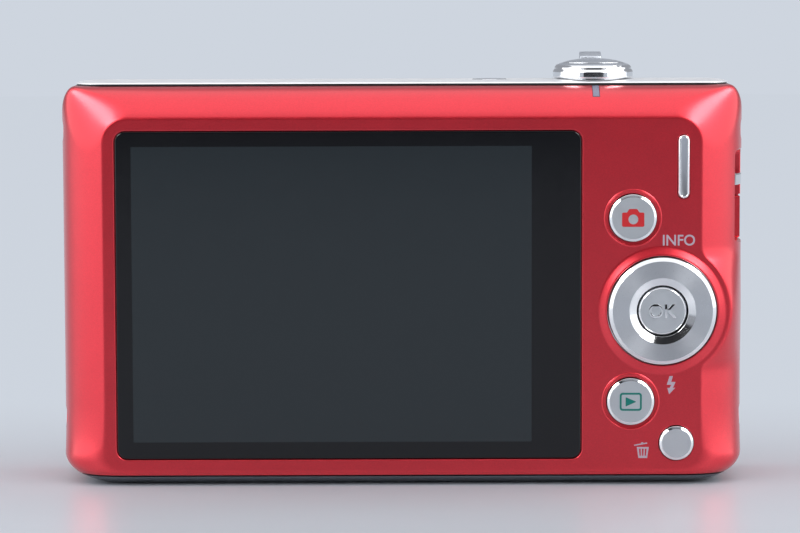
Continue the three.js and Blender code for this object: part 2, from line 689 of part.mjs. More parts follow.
// The inner barrel: a tube with a front cap, and the two pins that its cover blades turn on.
function makeInnerBarrel() {
  const { radius, inner, y } = BARREL.inner;
  const wall = turnedY(
    [[inner, y[1]], [radius, y[1]], [radius, y[0] + 0.3], [radius - 0.3, y[0]],
      [CAP_OPENING + 0.6, y[0]], [CAP_OPENING, y[0] + 0.75], [inner, y[0] + 0.75]],
    0, 0, 0, 36,
  );
  const pins = [-1, 1].map((side) =>
    turnedY(rod(0.4, y[0] + 0.5, BLADE.y[1]), side * BLADE.pivot, 0, 0, 8));
  return join(wall, ...pins);
}
node("barrel_inner", SILVER, makeInnerBarrel(), LENS.x, 0, LENS.z);

// Each cover blade is half a disc on an ear round its pivot pin.
function makeBlade(side) {
  const shape = new THREE.Shape();
  const half = 0.04;
  const { radius, pivot, ear } = BLADE;
  shape.moveTo(radius, half);
  shape.absarc(0, 0, radius, 0, Math.PI * 0.9);
  shape.lineTo(-pivot, ear);
  shape.absarc(-pivot, 0, ear, Math.PI / 2, Math.PI * 1.5);
  shape.lineTo(-pivot + 0.7, -0.7);
  shape.lineTo(-radius - 0.35, half);
  shape.closePath();
  const hole = new THREE.Path();
  hole.absarc(-pivot, 0, 0.55, 0, Math.PI * 2, true);
  shape.holes.push(hole);
  const [y0, y1] = BLADE.y;
  const g = extruded(shape, y1 - y0, 12).rotateX(Math.PI / 2).translate(0, y1, 0);
  return solid(side < 0 ? g : g.rotateY(Math.PI));
}
node("lens_blade_upper", BLACK, makeBlade(-1), LENS.x, 0, LENS.z);
node("lens_blade_lower", BLACK, makeBlade(1), LENS.x, 0, LENS.z);

node("front_lens", GLASS,
  turnedY([[0, -9.9], [4, -9.6], [7.2, -8.7], [7.2, -6.6], [0, -6.6]], 0, 0, 0),
  LENS.x, 0, LENS.z);
node("front_lens_cell", BLACK,
  turnedY([[7.35, -9.4], [10.9, -9.4], [10.9, -6], [5.5, -6], [5.5, -6.4], [7.35, -6.4]], 0, 0, 0),
  LENS.x, 0, LENS.z);

// The lens housing: a block with a round well for the barrels, and a window for the sensor.
const HOUSING = { x: [-3, 36], y: [-8, 4.2], z: [7.55, 46.95] };
node("lens_housing", BLACK, cut(
  block(HOUSING.x, HOUSING.y, HOUSING.z),
  turnedY(rod(13.9, -9, 2.9), LENS.x, 0, LENS.z, 36),
  turnedY(rod(5.4, 2, 5), LENS.x, 0, LENS.z),
));
node("rear_lens", GLASS, turnedY([[0, 2.6], [4.8, 2.6], [4.8, 1.6], [0, 0.9]], 0, 0, 0),
  LENS.x, 0, LENS.z);
node("image_sensor", BOARD, join(
  block([LENS.x - 8.5, LENS.x + 8.5], [4.35, 4.4 + 0.5], [LENS.z - 8.5, LENS.z + 8.5]),
  block([LENS.x - 3.3, LENS.x + 3.3], [3.1, 4.4], [LENS.z - 2.6, LENS.z + 2.6]),
));
node("zoom_motor", STEEL,
  turnedY([[0, -7.8], [4.1, -7.8], [4.1, 2.8], [0.7, 2.8], [0.7, 3.8], [0, 3.8]], 0, 0, 0),
  40.4, 0, 13.05);

// ---------------------------------------------------------------- flash, microphone, speaker
node("flash_reflector", CLEAR_PLASTIC, cut(
  block([FLASH.x[0] + 0.6, FLASH.x[1] - 0.6], [-8, -4.2], [43.55, 47.75]),
  block([FLASH.x[0] + 1.4, FLASH.x[1] - 1.4], [-9, -5], [44.15, 47.15]),
));
node("flash_tube", GLASS, turnedX(rod(0.9, FLASH.x[0] + 1.7, FLASH.x[1] - 1.7), 0, -6.2, 45.65, 10));
node("flash_capacitor", BLACK, turnedX(rod(3.2, 7, 33), 0, -4.1, 50.75, 18));
node("microphone", STEEL, turnedY(rod(2.1, -8, -6.6), MIC.x, 0, MIC.z, 14));
node("speaker", BLACK, plateXY(roundedRect([31.6, 42.2], [-0.4, 4.2], 1.5), [51.55, 53.75]));

// ---------------------------------------------------------------- battery and card
const BATTERY = { x: [-40.4, -8.8], y: [-4.5, 1.4], z: [2.3, 41.9] };
const CARD = { x: [-36.6, -12.6], y: [2.1, 4.2], z: [2.8, 34.8] };
node("battery_box", BLACK, cut(
  block([-41.6, -7.6], [-5.4, 4.8], [3.2, 43.1]),
  block(outwards(BATTERY.x, 0.2), outwards(BATTERY.y, 0.2), [0, BATTERY.z[1] + 0.2]),
  block(outwards(CARD.x, 0.2), outwards(CARD.y, 0.15), [0, CARD.z[1] + 0.3]),
));
node("battery", LABEL_GREY, plateXZ(roundedRect(BATTERY.x, BATTERY.z, 1), BATTERY.y));

function makeCard() {
  const s = new THREE.Shape();
  const [left, right] = CARD.x;
  const [bottom, top] = CARD.z;
  s.moveTo(left, bottom);
  s.lineTo(right, bottom);
  s.lineTo(right, top - 3.4);
  s.lineTo(right - 3.4, top);
  s.lineTo(left, top);
  s.closePath();
  return plateXZ(s, CARD.y);
}
node("memory_card", LABEL_GREY, makeCard());

// ---------------------------------------------------------------- chassis and boards
// A pressed steel plate behind the lens and battery box, with ears that take the side screws.
function makeChassis() {
  const plate = plateXZ(roundedRect([-45.4, 45.4], [3.4, 52.75], 5), [5.1, 5.5]);
  const ears = [1, -1].flatMap((side) => {
    const x = side > 0 ? [45, 45.8] : [-45.8, -45];
    const link = side > 0 ? [44, 45.8] : [-45.8, -44];
    return [[48.15, 51.15], [7.35, 10.55]].flatMap((z) =>
      [block(x, [0, 5.3], z), block(link, [5.1, 5.5], z)]);
  });
  const shanks = [1, -1].flatMap((side) =>
    SIDE_SCREWS.z.map((z) => turnedX(rod(0.85, -2, 2), side * 46, SIDE_SCREWS.y, z, 12)));
  const sensorHole = block([LENS.x - 9, LENS.x + 9], [4, 6], [LENS.z - 9, LENS.z + 9]);
  const pocketRelief = block([-47, -43.8], [4, 6], [32.55, 48.05]);
  return cut(join(plate, ...ears), sensorHole, pocketRelief, ...shanks);
}
node("chassis", STEEL, makeChassis());
node("main_board", BOARD, cut(
  block([-22, 43], [5.8, 6.3], [4.55, 50.55]),
  block([-23, -16], [5, 7], [4, 20.5]),
));
const SCREEN = { x: [-20.4, 39.8], z: [4.95, 49.15] };
node("screen_module", LABEL_GREY, block(SCREEN.x, [6.6, 8.8], SCREEN.z));
node("screen_cable", BLACK, block([10, 24], [6.36, 6.54], [7.55, 28.55]));

// The switch board behind the buttons, with a dome under each plunger.
const DOMES = [
  ...Object.values(BUTTONS),
  PAD,
  ...[[5.8, 0], [-5.8, 0], [0, 5.8], [0, -5.8]].map(([dx, dz]) => ({ x: PAD.x + dx, z: PAD.z + dz })),
];
node("switch_board", BOARD, join(
  block([-43.6, -24], [6.3, 6.7], [3.95, 41.35]),
  ...DOMES.map(({ x, z }) => turnedY([[0, 6.6], [1.7, 6.6], [1.2, 6.85], [0, 6.9]], x, 0, z, 8)),
));
node("top_switch_board", BOARD, block([-35, -8.2], [-5, 4.2], [50.95, 51.55]));

export default camera;
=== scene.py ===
"""Looks of the compact digital camera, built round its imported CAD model.

All shapes are written in millimetres in the frame of the CAD model: +Z up, the lens looking
along -Y, the screen facing +Y. Seen from behind, +X is to the left.
"""

import math

import bmesh
import bpy
from mathutils import Matrix, Vector
from mathutils.geometry import delaunay_2d_cdt


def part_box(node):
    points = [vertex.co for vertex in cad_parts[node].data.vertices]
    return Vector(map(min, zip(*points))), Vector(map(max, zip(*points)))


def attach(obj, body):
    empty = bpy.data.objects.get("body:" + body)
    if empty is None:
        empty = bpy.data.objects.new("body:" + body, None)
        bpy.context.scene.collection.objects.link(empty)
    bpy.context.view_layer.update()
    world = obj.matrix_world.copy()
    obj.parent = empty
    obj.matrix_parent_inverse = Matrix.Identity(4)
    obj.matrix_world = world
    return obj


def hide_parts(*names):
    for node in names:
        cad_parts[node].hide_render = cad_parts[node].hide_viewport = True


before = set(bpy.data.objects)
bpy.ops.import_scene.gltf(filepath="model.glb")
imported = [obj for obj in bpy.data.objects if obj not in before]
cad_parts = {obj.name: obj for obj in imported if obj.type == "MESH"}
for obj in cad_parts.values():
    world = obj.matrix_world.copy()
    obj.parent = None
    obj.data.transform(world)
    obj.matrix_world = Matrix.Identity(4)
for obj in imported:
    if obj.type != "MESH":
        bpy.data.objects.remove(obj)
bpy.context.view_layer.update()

MM = 0.001
SUPPORT = 0.05  # width of the flat strips beside rounded edges, which keep flat faces flat
EDGE_STEPS = 3  # pieces that a rolled edge is divided into
SHARP = 38  # degrees from which an edge is drawn sharp


# ---------------------------------------------------------------- places from the CAD model
def span(node, axis):
    """Lowest and highest coordinate of a CAD node along an axis, in millimetres."""
    low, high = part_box(node)
    return low[axis] / MM, high[axis] / MM


def centre_of(node, *axes):
    return tuple(sum(span(node, axis)) / 2 for axis in axes)


X, Y, Z = 0, 1, 2
PAD = centre_of("set_button", X, Z)
LENS = centre_of("lens_ring", X, Z)
ZOOM = centre_of("shutter_button", X, Y)
POWER = centre_of("power_button", X, Y)
TRIPOD = centre_of("tripod_nut", X, Y)
HALF_WIDTH = span("back_cover", X)[1]
SEAM_Y = span("back_cover", Y)[0]
FRONT_SEAM_Y = span("front_cover", Y)[1]
FRONT_Y = span("front_cover", Y)[0]
TOP = span("top_plate", Z)[1]
COVER_TOP = TOP - 0.65
PANEL_Y = span("display_window", Y)[1] + 0.05
BASE_SEAM_Z = span("back_cover", Z)[0]
LENS_AXIS = (LENS[0], 0, LENS[1])
PAD_AXIS = (PAD[0], PANEL_Y, PAD[1])
ZOOM_AXIS = (*ZOOM, TOP)
WALL = 1.1
CAP_RISE = 0.55  # how far the round buttons stand out of the panel
SET_RISE = 0.8
BUTTONS = {
    name: (*centre_of(name, X, Z), radius)
    for name, radius in (("record_button", 3.3), ("play_button", 3.3), ("delete_button", 2.4))
}
SCREWS = [f"side_screw_{side}_{level}"
          for side in ("left", "right") for level in ("lower", "upper")]
BASE_SCREWS = ("base_screw_1", "base_screw_2")
RIM_Y = 3.2  # where the back cover's sides start to curve in, and how far round they go
RIM_SWEEP = math.radians(62)
TOP_RIM_Y = 4.9
TOP_RIM_SWEEP = math.radians(55)
BOTTOM_RIM_Y = 6.0
BOTTOM_RIM_SWEEP = math.pi / 2
OUTER_CORNER = (2, 4)  # radii of the body's top corners along x and z
PANEL_SIDE = 42.2  # half width, top and corner radius of the flat panel
PANEL_TOP = 52.05
PANEL_CORNER = 3.8
CREST_WIDTH = 0.48  # how the frame's inner edge rolls over into the panel
CREST_DROP = 0.12
FRONT_RIM_Y = -4.4  # where the front cover's sides start to curve in
FRONT_SIDE = 45.4  # half width, top and corner radius of the flat front
FRONT_TOP = 53.35
FRONT_CORNER = 3.5
INNER_PANEL_Y = PANEL_Y - 1.6


# ---------------------------------------------------------------- flat outlines
def smoothstep(value, low, high):
    t = min(1.0, max(0.0, (value - low) / (high - low)))
    return t * t * (3 - 2 * t)


def lerp(a, b, t):
    return a + (b - a) * t


def circle(centre, radius, count=64):
    angles = [2 * math.pi * i / count for i in range(count)]
    return [(centre[0] + radius * math.cos(a), centre[1] + radius * math.sin(a)) for a in angles]


def rounded_box(spans_a, spans_b, radius, steps=8):
    """A rectangle with round corners, anticlockwise."""
    points = []
    corners = (
        (spans_a[1] - radius, spans_b[1] - radius, 0.0),
        (spans_a[0] + radius, spans_b[1] - radius, 0.5),
        (spans_a[0] + radius, spans_b[0] + radius, 1.0),
        (spans_a[1] - radius, spans_b[0] + radius, 1.5),
    )
    for a, b, start in corners:
        for i in range(steps + 1):
            angle = (start + 0.5 * i / steps) * math.pi
            points.append((a + radius * math.cos(angle), b + radius * math.sin(angle)))
    return points


def plan_of(node, axes, corner, grow=0.0, steps=8):
    """A rounded rectangle over two sides of a CAD node's box, grown by a distance."""
    spans = [(low - grow, high + grow) for low, high in (span(node, axis) for axis in axes)]
    return rounded_box(*spans, corner, steps)


def filleted(points, radius=0.1, steps=4, strips=True):
    """A polygon with its corners rounded. A point may carry its own radius as a third value.

    Long straight edges get a point near each end, so that flat faces shade flat.
    """
    rounded = []
    for i, point in enumerate(points):
        here = Vector(point[:2])
        own = point[2] if len(point) > 2 else radius
        if own <= 0:
            rounded.append([here])
            continue
        before = Vector(points[i - 1][:2]) - here
        after = Vector(points[(i + 1) % len(points)][:2]) - here
        turn = before.angle(after)
        if turn > math.radians(179) or turn < math.radians(1):
            rounded.append([here])
            continue
        reach = min(own / math.tan(turn / 2), 0.45 * before.length, 0.45 * after.length)
        own = reach * math.tan(turn / 2)
        bisector = (before.normalized() + after.normalized()).normalized()
        centre = here + bisector * (own / math.sin(turn / 2))
        start = here + before.normalized() * reach - centre
        sweep = start.angle_signed(here + after.normalized() * reach - centre)
        arc = []
        for k in range(steps + 1):
            cos, sin = math.cos(-sweep * k / steps), math.sin(-sweep * k / steps)
            spoke = Vector((start.x * cos - start.y * sin, start.x * sin + start.y * cos))
            arc.append(centre + spoke)
        rounded.append(arc)
    out = []
    for arc, following in zip(rounded, rounded[1:] + rounded[:1]):
        out.extend(arc)
        edge = following[0] - arc[-1]
        if strips and edge.length > 6 * SUPPORT:
            out.append(arc[-1] + edge.normalized() * SUPPORT)
            out.append(following[0] - edge.normalized() * SUPPORT)
    return [(p.x, p.y) for p in out]


def area(points):
    pairs = zip(points, points[1:] + points[:1])
    return sum(a[0] * b[1] - b[0] * a[1] for a, b in pairs) / 2


def grown(points, by):
    """The outline moved outwards by a distance, or inwards by a negative one."""
    if by == 0:
        return list(points)
    side = 1 if area(points) > 0 else -1
    out = []
    for i, point in enumerate(points):
        here = Vector(point)
        before = here - Vector(points[i - 1])
        after = Vector(points[(i + 1) % len(points)]) - here
        normal = Vector((0.0, 0.0))
        for edge in (before, after):
            if edge.length > 1e-9:
                normal += Vector((edge.y, -edge.x)).normalized()
        normal.normalize()
        along = before.normalized() if before.length > 1e-9 else after.normalized()
        spread = max(0.5, abs(normal.dot(Vector((along.y, -along.x)))))
        moved = here + normal * (side * by / spread)
        out.append((moved.x, moved.y))
    return out


# ---------------------------------------------------------------- meshes
class Shape:
    """Vertices in millimetres and faces, with a material number for each face."""

    def __init__(self):
        self.points = []
        self.faces = []
        self.finish = []

    def ring(self, points):
        start = len(self.points)
        self.points.extend(points)
        return list(range(start, start + len(points)))

    def face(self, corners, finish=0):
        self.faces.append(corners)
        self.finish.append(finish)

    def bridge(self, a, b, finish=0):
        count = len(a)
        for i in range(count):
            j = (i + 1) % count
            corners = [a[i], a[j], b[j], b[i]]
            self.face(list(dict.fromkeys(corners)), finish)

    def skin(self, rings, finish=0):
        for a, b in zip(rings, rings[1:]):
            self.bridge(a, b, finish)

    def add(self, other, finish=0):
        start = len(self.points)
        self.points.extend(other.points)
        for corners, own in zip(other.faces, other.finish):
            self.face([c + start for c in corners], own + finish)
        return self


def on_y(points, y):
    """Flat (x, z) points at a depth y, or at a depth that is a function of the height z."""
    depth = y if callable(y) else lambda z: y
    return [(x, depth(z), z) for x, z in points]


def on_z(points, z):
    return [(x, y, z) for x, y in points]


def on_x(points, x):
    return [(x, y, z) for y, z in points]


def flat_cap(shape, outer, holes, lift):
    """Fills the space between an outer ring and holes, each a (ring, flat points) pair."""
    flat, numbers, edges = [], [], []
    for ring, points in [outer, *holes]:
        start = len(flat)
        flat.extend(Vector(p) for p in points)
        numbers.extend(ring)
        edges.extend((start + i, start + (i + 1) % len(points)) for i in range(len(points)))
    found, _, triangles, origin, _, _ = delaunay_2d_cdt(flat, edges, [], 1, 1e-7)
    number = [numbers[sources[0]] if sources else None for sources in origin]
    for triangle in triangles:
        centre = sum((found[i] for i in triangle), Vector((0.0, 0.0))) / 3
        if any(inside(centre, points) for _, points in holes):
            continue
        for i in triangle:
            if number[i] is None:
                number[i] = shape.ring([lift(found[i])])[0]
        shape.face([number[i] for i in triangle])


def inside(point, polygon):
    hit = False
    x, y = point
    for (x0, y0), (x1, y1) in zip(polygon, polygon[1:] + polygon[:1]):
        if (y0 > y) != (y1 > y) and x < (x1 - x0) * (y - y0) / (y1 - y0) + x0:
            hit = not hit
    return hit


def turned(profile, centre, axis="y", segments=96, finishes=None):
    """A profile of (radius, height) turned about an axis. Radius 0 makes a pole."""
    place = {
        "x": lambda a, b, height: (centre[0] + height, centre[1] + a, centre[2] + b),
        "y": lambda a, b, height: (centre[0] + a, centre[1] + height, centre[2] + b),
        "z": lambda a, b, height: (centre[0] + a, centre[1] + b, centre[2] + height),
    }[axis]
    shape = Shape()
    rings = []
    for radius, height in profile:
        flat = circle((0, 0), radius, segments if radius > 1e-6 else 1)
        rings.append(shape.ring([place(a, b, height) for a, b in flat]))
    pairs = list(zip(profile, profile[1:], rings, rings[1:]))
    if profile[0][0] > 1e-6:
        pairs.append((profile[-1], profile[0], rings[-1], rings[0]))
    for p, q, a, b in pairs:
        if len(a) == len(b) == 1:
            continue
        finish = finishes((p[0] + q[0]) / 2, (p[1] + q[1]) / 2) if finishes else 0
        for i in range(segments):
            j = (i + 1) % segments
            corners = [a[i % len(a)], a[j % len(a)], b[j % len(b)], b[i % len(b)]]
            shape.face(list(dict.fromkeys(corners)), finish)
    return shape


def stacked(outline, levels, place, holes=()):
    """Copies of an outline, each grown and placed at a level, skinned and capped.

    Levels are (grow, height) pairs. Holes are outlines that shrink as the outline grows.
    """
    shape = Shape()
    walls = [[] for _ in range(1 + len(holes))]
    flats = []
    for grow, height in levels:
        flats.append([grown(outline, grow), *[grown(hole, -grow) for hole in holes]])
        for wall, loop in zip(walls, flats[-1]):
            wall.append(shape.ring(place(loop, height)))
    for wall in walls:
        shape.skin(wall)
    for end in (0, -1):
        height = levels[end][1]
        outer, *inner = [(wall[end], loop) for wall, loop in zip(walls, flats[end])]
        flat_cap(shape, outer, inner, lambda p, h=height: place([tuple(p)], h)[0])
    return shape


def edge_levels(low, high, round_high, round_low):
    """Levels of a plate from its high face to its low one, with rounded edges."""
    quarter = [math.pi / 2 * k / EDGE_STEPS for k in range(EDGE_STEPS + 1)]
    levels = [(-round_high - SUPPORT, high)]
    levels += [(round_high * (math.sin(a) - 1), high - round_high * (1 - math.cos(a)))
               for a in quarter]
    levels.append((0, high - round_high - SUPPORT))
    if not round_low:
        return levels + [(0, low)]
    levels.append((0, low + round_low + SUPPORT))
    levels += [(round_low * (math.cos(a) - 1), low + round_low * (1 - math.sin(a)))
               for a in quarter]
    return levels + [(-round_low - SUPPORT, low)]


def lofted(rings):
    """A closed shape through rings of points, with a face at each end."""
    shape = Shape()
    numbers = [shape.ring(ring) for ring in rings]
    shape.skin(numbers)
    shape.face(numbers[0])
    shape.face(numbers[-1])
    return shape


def block(spans_x, spans_y, spans_z):
    (x0, x1), (y0, y1) = spans_x, spans_y
    return lofted([on_z([(x0, y0), (x1, y0), (x1, y1), (x0, y1)], z) for z in spans_z])


def linked(name, data):
    thing = bpy.data.objects.new(name, data)
    bpy.context.scene.collection.objects.link(thing)
    return thing


def welded(mesh, distance):
    """Merges vertices that lie together, and turns the faces outwards."""
    b = bmesh.new()
    b.from_mesh(mesh)
    bmesh.ops.remove_doubles(b, verts=b.verts, dist=distance)
    bmesh.ops.recalc_face_normals(b, faces=b.faces)
    b.to_mesh(mesh)
    b.free()


def made(name, shape, materials, sharp=SHARP):
    """A mesh object from a shape, smooth except at edges sharper than an angle."""
    mesh = bpy.data.meshes.new(name)
    mesh.from_pydata([Vector(p) * MM for p in shape.points], [], shape.faces)
    for material in materials:
        mesh.materials.append(material)
    if len(materials) > 1:
        mesh.polygons.foreach_set("material_index", shape.finish)
    welded(mesh, 2e-7)
    smooth(mesh, sharp)
    return linked(name, mesh)


def smooth(mesh, sharp):
    mesh.shade_smooth()
    mesh.set_sharp_from_angle(angle=math.radians(sharp))


def modified(piece, kind, sharp, **settings):
    """Applies a modifier to a piece's mesh."""
    modifier = piece.modifiers.new(kind, kind)
    for key, value in settings.items():
        setattr(modifier, key, value)
    evaluated = piece.evaluated_get(bpy.context.evaluated_depsgraph_get())
    mesh = bpy.data.meshes.new_from_object(evaluated)
    piece.modifiers.clear()
    old = piece.data
    piece.data = mesh
    mesh.name = old.name
    bpy.data.meshes.remove(old)
    smooth(mesh, sharp)


def carved(piece, tool, operation="DIFFERENCE", sharp=SHARP):
    """Cuts a piece with a tool shape, joins the two, or keeps only what lies inside the tool."""
    cutter = made("tool", tool, [])
    modified(piece, "BOOLEAN", sharp, object=cutter, operation=operation, solver="EXACT",
             use_self=True)
    bpy.data.objects.remove(cutter)


def fitted(piece, body, slot, *nodes):
    """Puts a piece on its body and hides the CAD nodes it stands for. The slot is not used."""
    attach(piece, body)
    if nodes:
        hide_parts(*nodes)


def built(name, shape, materials, body, slot, *nodes, sharp=SHARP):
    """A piece made from a shape and fitted to its body."""
    fitted(made(name, shape, materials, sharp), body, slot, *nodes)


# ---------------------------------------------------------------- material nodes
class Nodes:
    """A material's node tree, with short ways to add nodes."""

    def __init__(self, name):
        self.material = bpy.data.materials.new(name)
        self.material.use_nodes = True
        self.tree = self.material.node_tree
        self.shader = self.tree.nodes["Principled BSDF"]
        self.place = self.tree.nodes.new("ShaderNodeTexCoord").outputs["Object"]

    def new(self, kind, **settings):
        node = self.tree.nodes.new(kind)
        for key, value in settings.items():
            setattr(node, key, value)
        return node

    def link(self, out, into):
        self.tree.links.new(out, into)

    def set(self, **values):
        """Sets shader sockets by name, with underscores for spaces."""
        for key, value in values.items():
            self.shader.inputs[key.replace("_", " ")].default_value = value

    def math(self, operation, *values):
        node = self.new("ShaderNodeMath", operation=operation)
        for socket, value in zip(node.inputs, values):
            if isinstance(value, (int, float)):
                socket.default_value = value
            else:
                self.link(value, socket)
        return node.outputs[0]

    def stretched(self, scale):
        node = self.new("ShaderNodeMapping")
        node.inputs["Scale"].default_value = scale
        self.link(self.place, node.inputs["Vector"])
        return node.outputs["Vector"]

    def noise(self, per_mm, detail=3.0, roughness=0.55, stretch=None):
        node = self.new("ShaderNodeTexNoise")
        node.inputs["Scale"].default_value = per_mm / MM
        node.inputs["Detail"].default_value = detail
        node.inputs["Roughness"].default_value = roughness
        self.link(self.stretched(stretch) if stretch else self.place, node.inputs["Vector"])
        return node.outputs["Fac"]

    def mean(self, a, b):
        return self.math("MULTIPLY", self.math("ADD", a, b), 0.5)

    def cells(self, per_mm):
        """Three random values for each cell of a fine pattern."""
        node = self.new("ShaderNodeTexVoronoi")
        node.inputs["Scale"].default_value = per_mm / MM
        self.link(self.place, node.inputs["Vector"])
        split = self.new("ShaderNodeSeparateColor")
        self.link(node.outputs["Color"], split.inputs[0])
        return split.outputs

    def ranged(self, value, low, high, out_low, out_high):
        node = self.new("ShaderNodeMapRange")
        self.link(value, node.inputs["Value"])
        for key, number in zip(("From Min", "From Max", "To Min", "To Max"),
                               (low, high, out_low, out_high)):
            node.inputs[key].default_value = number
        return node.outputs["Result"]

    def spread(self, noise, low, high):
        """Maps the range that most of a noise lies in to another."""
        return self.ranged(noise, 0.3, 0.7, low, high)

    def mixed(self, factor, a, b):
        node = self.new("ShaderNodeMix", data_type="RGBA")
        for socket, value in ((node.inputs[0], factor), (node.inputs[6], a), (node.inputs[7], b)):
            if isinstance(value, (int, float)):
                socket.default_value = value
            elif isinstance(value, tuple):
                socket.default_value = (*value, 1.0)
            else:
                self.link(value, socket)
        return node.outputs[2]

    def bump(self, height, strength, distance):
        node = self.new("ShaderNodeBump")
        node.inputs["Strength"].default_value = strength
        node.inputs["Distance"].default_value = distance * MM
        self.link(height, node.inputs["Height"])
        self.link(node.outputs["Normal"], self.shader.inputs["Normal"])

    def colour(self, out):
        self.link(out, self.shader.inputs["Base Color"])

    def roughness(self, out):
        self.link(out, self.shader.inputs["Roughness"])

    def axes(self):
        node = self.new("ShaderNodeSeparateXYZ")
        self.link(self.place, node.inputs[0])
        return node.outputs


def lacquer(name, colour, deep):
    """Metallic lacquer: fine flakes under a satin clear coat."""
    n = Nodes(name)
    n.set(Metallic=0.93, Coat_Weight=1.0, Coat_Roughness=0.25, Coat_IOR=1.55)
    tone, gloss, tilt = n.cells(9.0)
    blend = n.math("ADD", n.math("MULTIPLY", tone, 0.35),
                   n.math("MULTIPLY", n.noise(0.12, 2.0), 0.25))
    n.colour(n.mixed(blend, colour, deep))
    n.roughness(n.math("ADD", n.ranged(gloss, 0, 1, 0.30, 0.37),
                       n.spread(n.noise(0.5), -0.01, 0.02)))
    n.bump(tilt, 0.06, 0.004)
    return n.material


def scaled(colour, by):
    return tuple(c * by for c in colour)


def satin_metal(name, colour, roughness, stretch=(1, 1, 1), metallic=1.0, grain=0.05):
    """Satin metal with a fine grain that may run along one direction."""
    n = Nodes(name)
    n.set(Metallic=metallic)
    grain_noise = n.noise(6.0, 4.0, 0.65, stretch)
    cloud = n.noise(0.25, 2.0)
    n.colour(n.mixed(n.mean(grain_noise, cloud), scaled(colour, 0.86), colour))
    n.roughness(n.math("ADD", n.spread(grain_noise, roughness - grain, roughness + grain),
                       n.spread(cloud, -0.015, 0.02)))
    n.bump(grain_noise, 0.12, 0.004)
    return n.material


def polished_metal(name, colour=(0.80, 0.81, 0.83), roughness=0.06):
    """Polished metal with faint smears and hairline wear."""
    n = Nodes(name)
    n.set(Metallic=1.0)
    smear = n.noise(0.6, 4.0, 0.6)
    hair = n.noise(14.0, 2.0, 0.5, (1.0, 0.15, 1.0))
    n.colour(n.mixed(smear, scaled(colour, 0.93), colour))
    n.roughness(n.math("ADD", n.ranged(smear, 0.3, 0.75, roughness, roughness + 0.06),
                       n.ranged(hair, 0.55, 0.8, 0.0, 0.05)))
    n.bump(smear, 0.03, 0.01)
    return n.material


def spun_metal(name, colour, roughness):
    """Metal turned on a lathe about Y: its highlights fan out from the axis."""
    n = Nodes(name)
    n.set(Metallic=1.0, Anisotropic=0.8, Anisotropic_Rotation=0.25)
    tangent = n.new("ShaderNodeTangent", direction_type="RADIAL", axis="Y")
    n.link(tangent.outputs[0], n.shader.inputs["Tangent"])
    fine = n.noise(9.0, 3.0, 0.6)
    n.colour(n.mixed(fine, scaled(colour, 0.92), colour))
    n.roughness(n.spread(fine, roughness - 0.03, roughness + 0.03))
    return n.material


def moulded(name, colour, roughness=0.5, grain=4.0, bump=0.15, coat=0.0):
    """Moulded plastic with a fine spark-eroded grain."""
    n = Nodes(name)
    n.set(Coat_Weight=coat, Coat_Roughness=0.12)
    texture = n.noise(grain, 4.0, 0.6)
    cloud = n.noise(0.2, 2.0)
    n.colour(n.mixed(n.mean(texture, cloud), scaled(colour, 0.8), scaled(colour, 1.15)))
    n.roughness(n.spread(texture, roughness - 0.06, roughness + 0.06))
    n.bump(texture, bump, 0.01)
    return n.material


LIT_X, LIT_Z = (-18.1, 37.9), (6.25, 47.85)  # the screen's lit area behind the glass


def screen_glass(name):
    """Glass over a black border and the slightly lighter lit area of the screen."""
    n = Nodes(name)
    n.set(IOR=1.45)
    x, _, z = n.axes()

    def band(value, spans):
        centre, half = (spans[0] + spans[1]) / 2 * MM, (spans[1] - spans[0]) / 2 * MM
        away = n.math("ABSOLUTE", n.math("SUBTRACT", value, centre))
        return n.ranged(n.math("SUBTRACT", half, away), -0.00006, 0.00006, 0.0, 1.0)

    lit = n.math("MULTIPLY", band(x, LIT_X), band(z, LIT_Z))
    grain = n.noise(12.0, 2.0)
    border = n.mixed(grain, (0.0030, 0.0033, 0.0048), (0.0040, 0.0043, 0.0060))
    active = n.mixed(grain, (0.0170, 0.0230, 0.0275), (0.0200, 0.0265, 0.0310))
    n.colour(n.mixed(lit, border, active))
    n.roughness(n.ranged(n.noise(0.3, 5.0, 0.7), 0.3, 0.8, 0.08, 0.16))
    return n.material


def clear_plastic(name, tint, roughness=0.12, transmission=0.75):
    n = Nodes(name)
    n.set(Transmission_Weight=transmission, IOR=1.49)
    haze = n.noise(2.0, 3.0)
    n.colour(n.mixed(haze, scaled(tint, 0.9), tint))
    n.roughness(n.spread(haze, roughness * 0.7, roughness * 1.3))
    n.bump(haze, 0.05, 0.01)
    return n.material


def coated_lens(name, tint):
    """Optical glass with a purple-green coating that shows at glancing angles."""
    n = Nodes(name)
    n.set(IOR=1.62, Transmission_Weight=0.55, Coat_Weight=1.0, Coat_Roughness=0.01,
          Coat_Tint=(0.55, 0.45, 0.9, 1.0))
    film = n.noise(0.15, 2.0)
    n.colour(n.mixed(film, tint, scaled(tint, 1.6)))
    n.roughness(n.spread(film, 0.01, 0.03))
    return n.material


def circuit_board(name):
    """Solder mask over copper tracks."""
    n = Nodes(name)
    tracks = n.new("ShaderNodeTexBrick")
    tracks.inputs["Scale"].default_value = 0.35 / MM
    tracks.inputs["Mortar Size"].default_value = 0.03
    tracks.inputs["Color1"].default_value = (0.012, 0.10, 0.045, 1)
    tracks.inputs["Color2"].default_value = (0.016, 0.13, 0.055, 1)
    tracks.inputs["Mortar"].default_value = (0.03, 0.20, 0.09, 1)
    n.link(n.place, tracks.inputs["Vector"])
    n.colour(tracks.outputs["Color"])
    n.roughness(n.spread(n.noise(3.0), 0.25, 0.4))
    n.bump(tracks.outputs["Fac"], 0.3, 0.03)
    return n.material


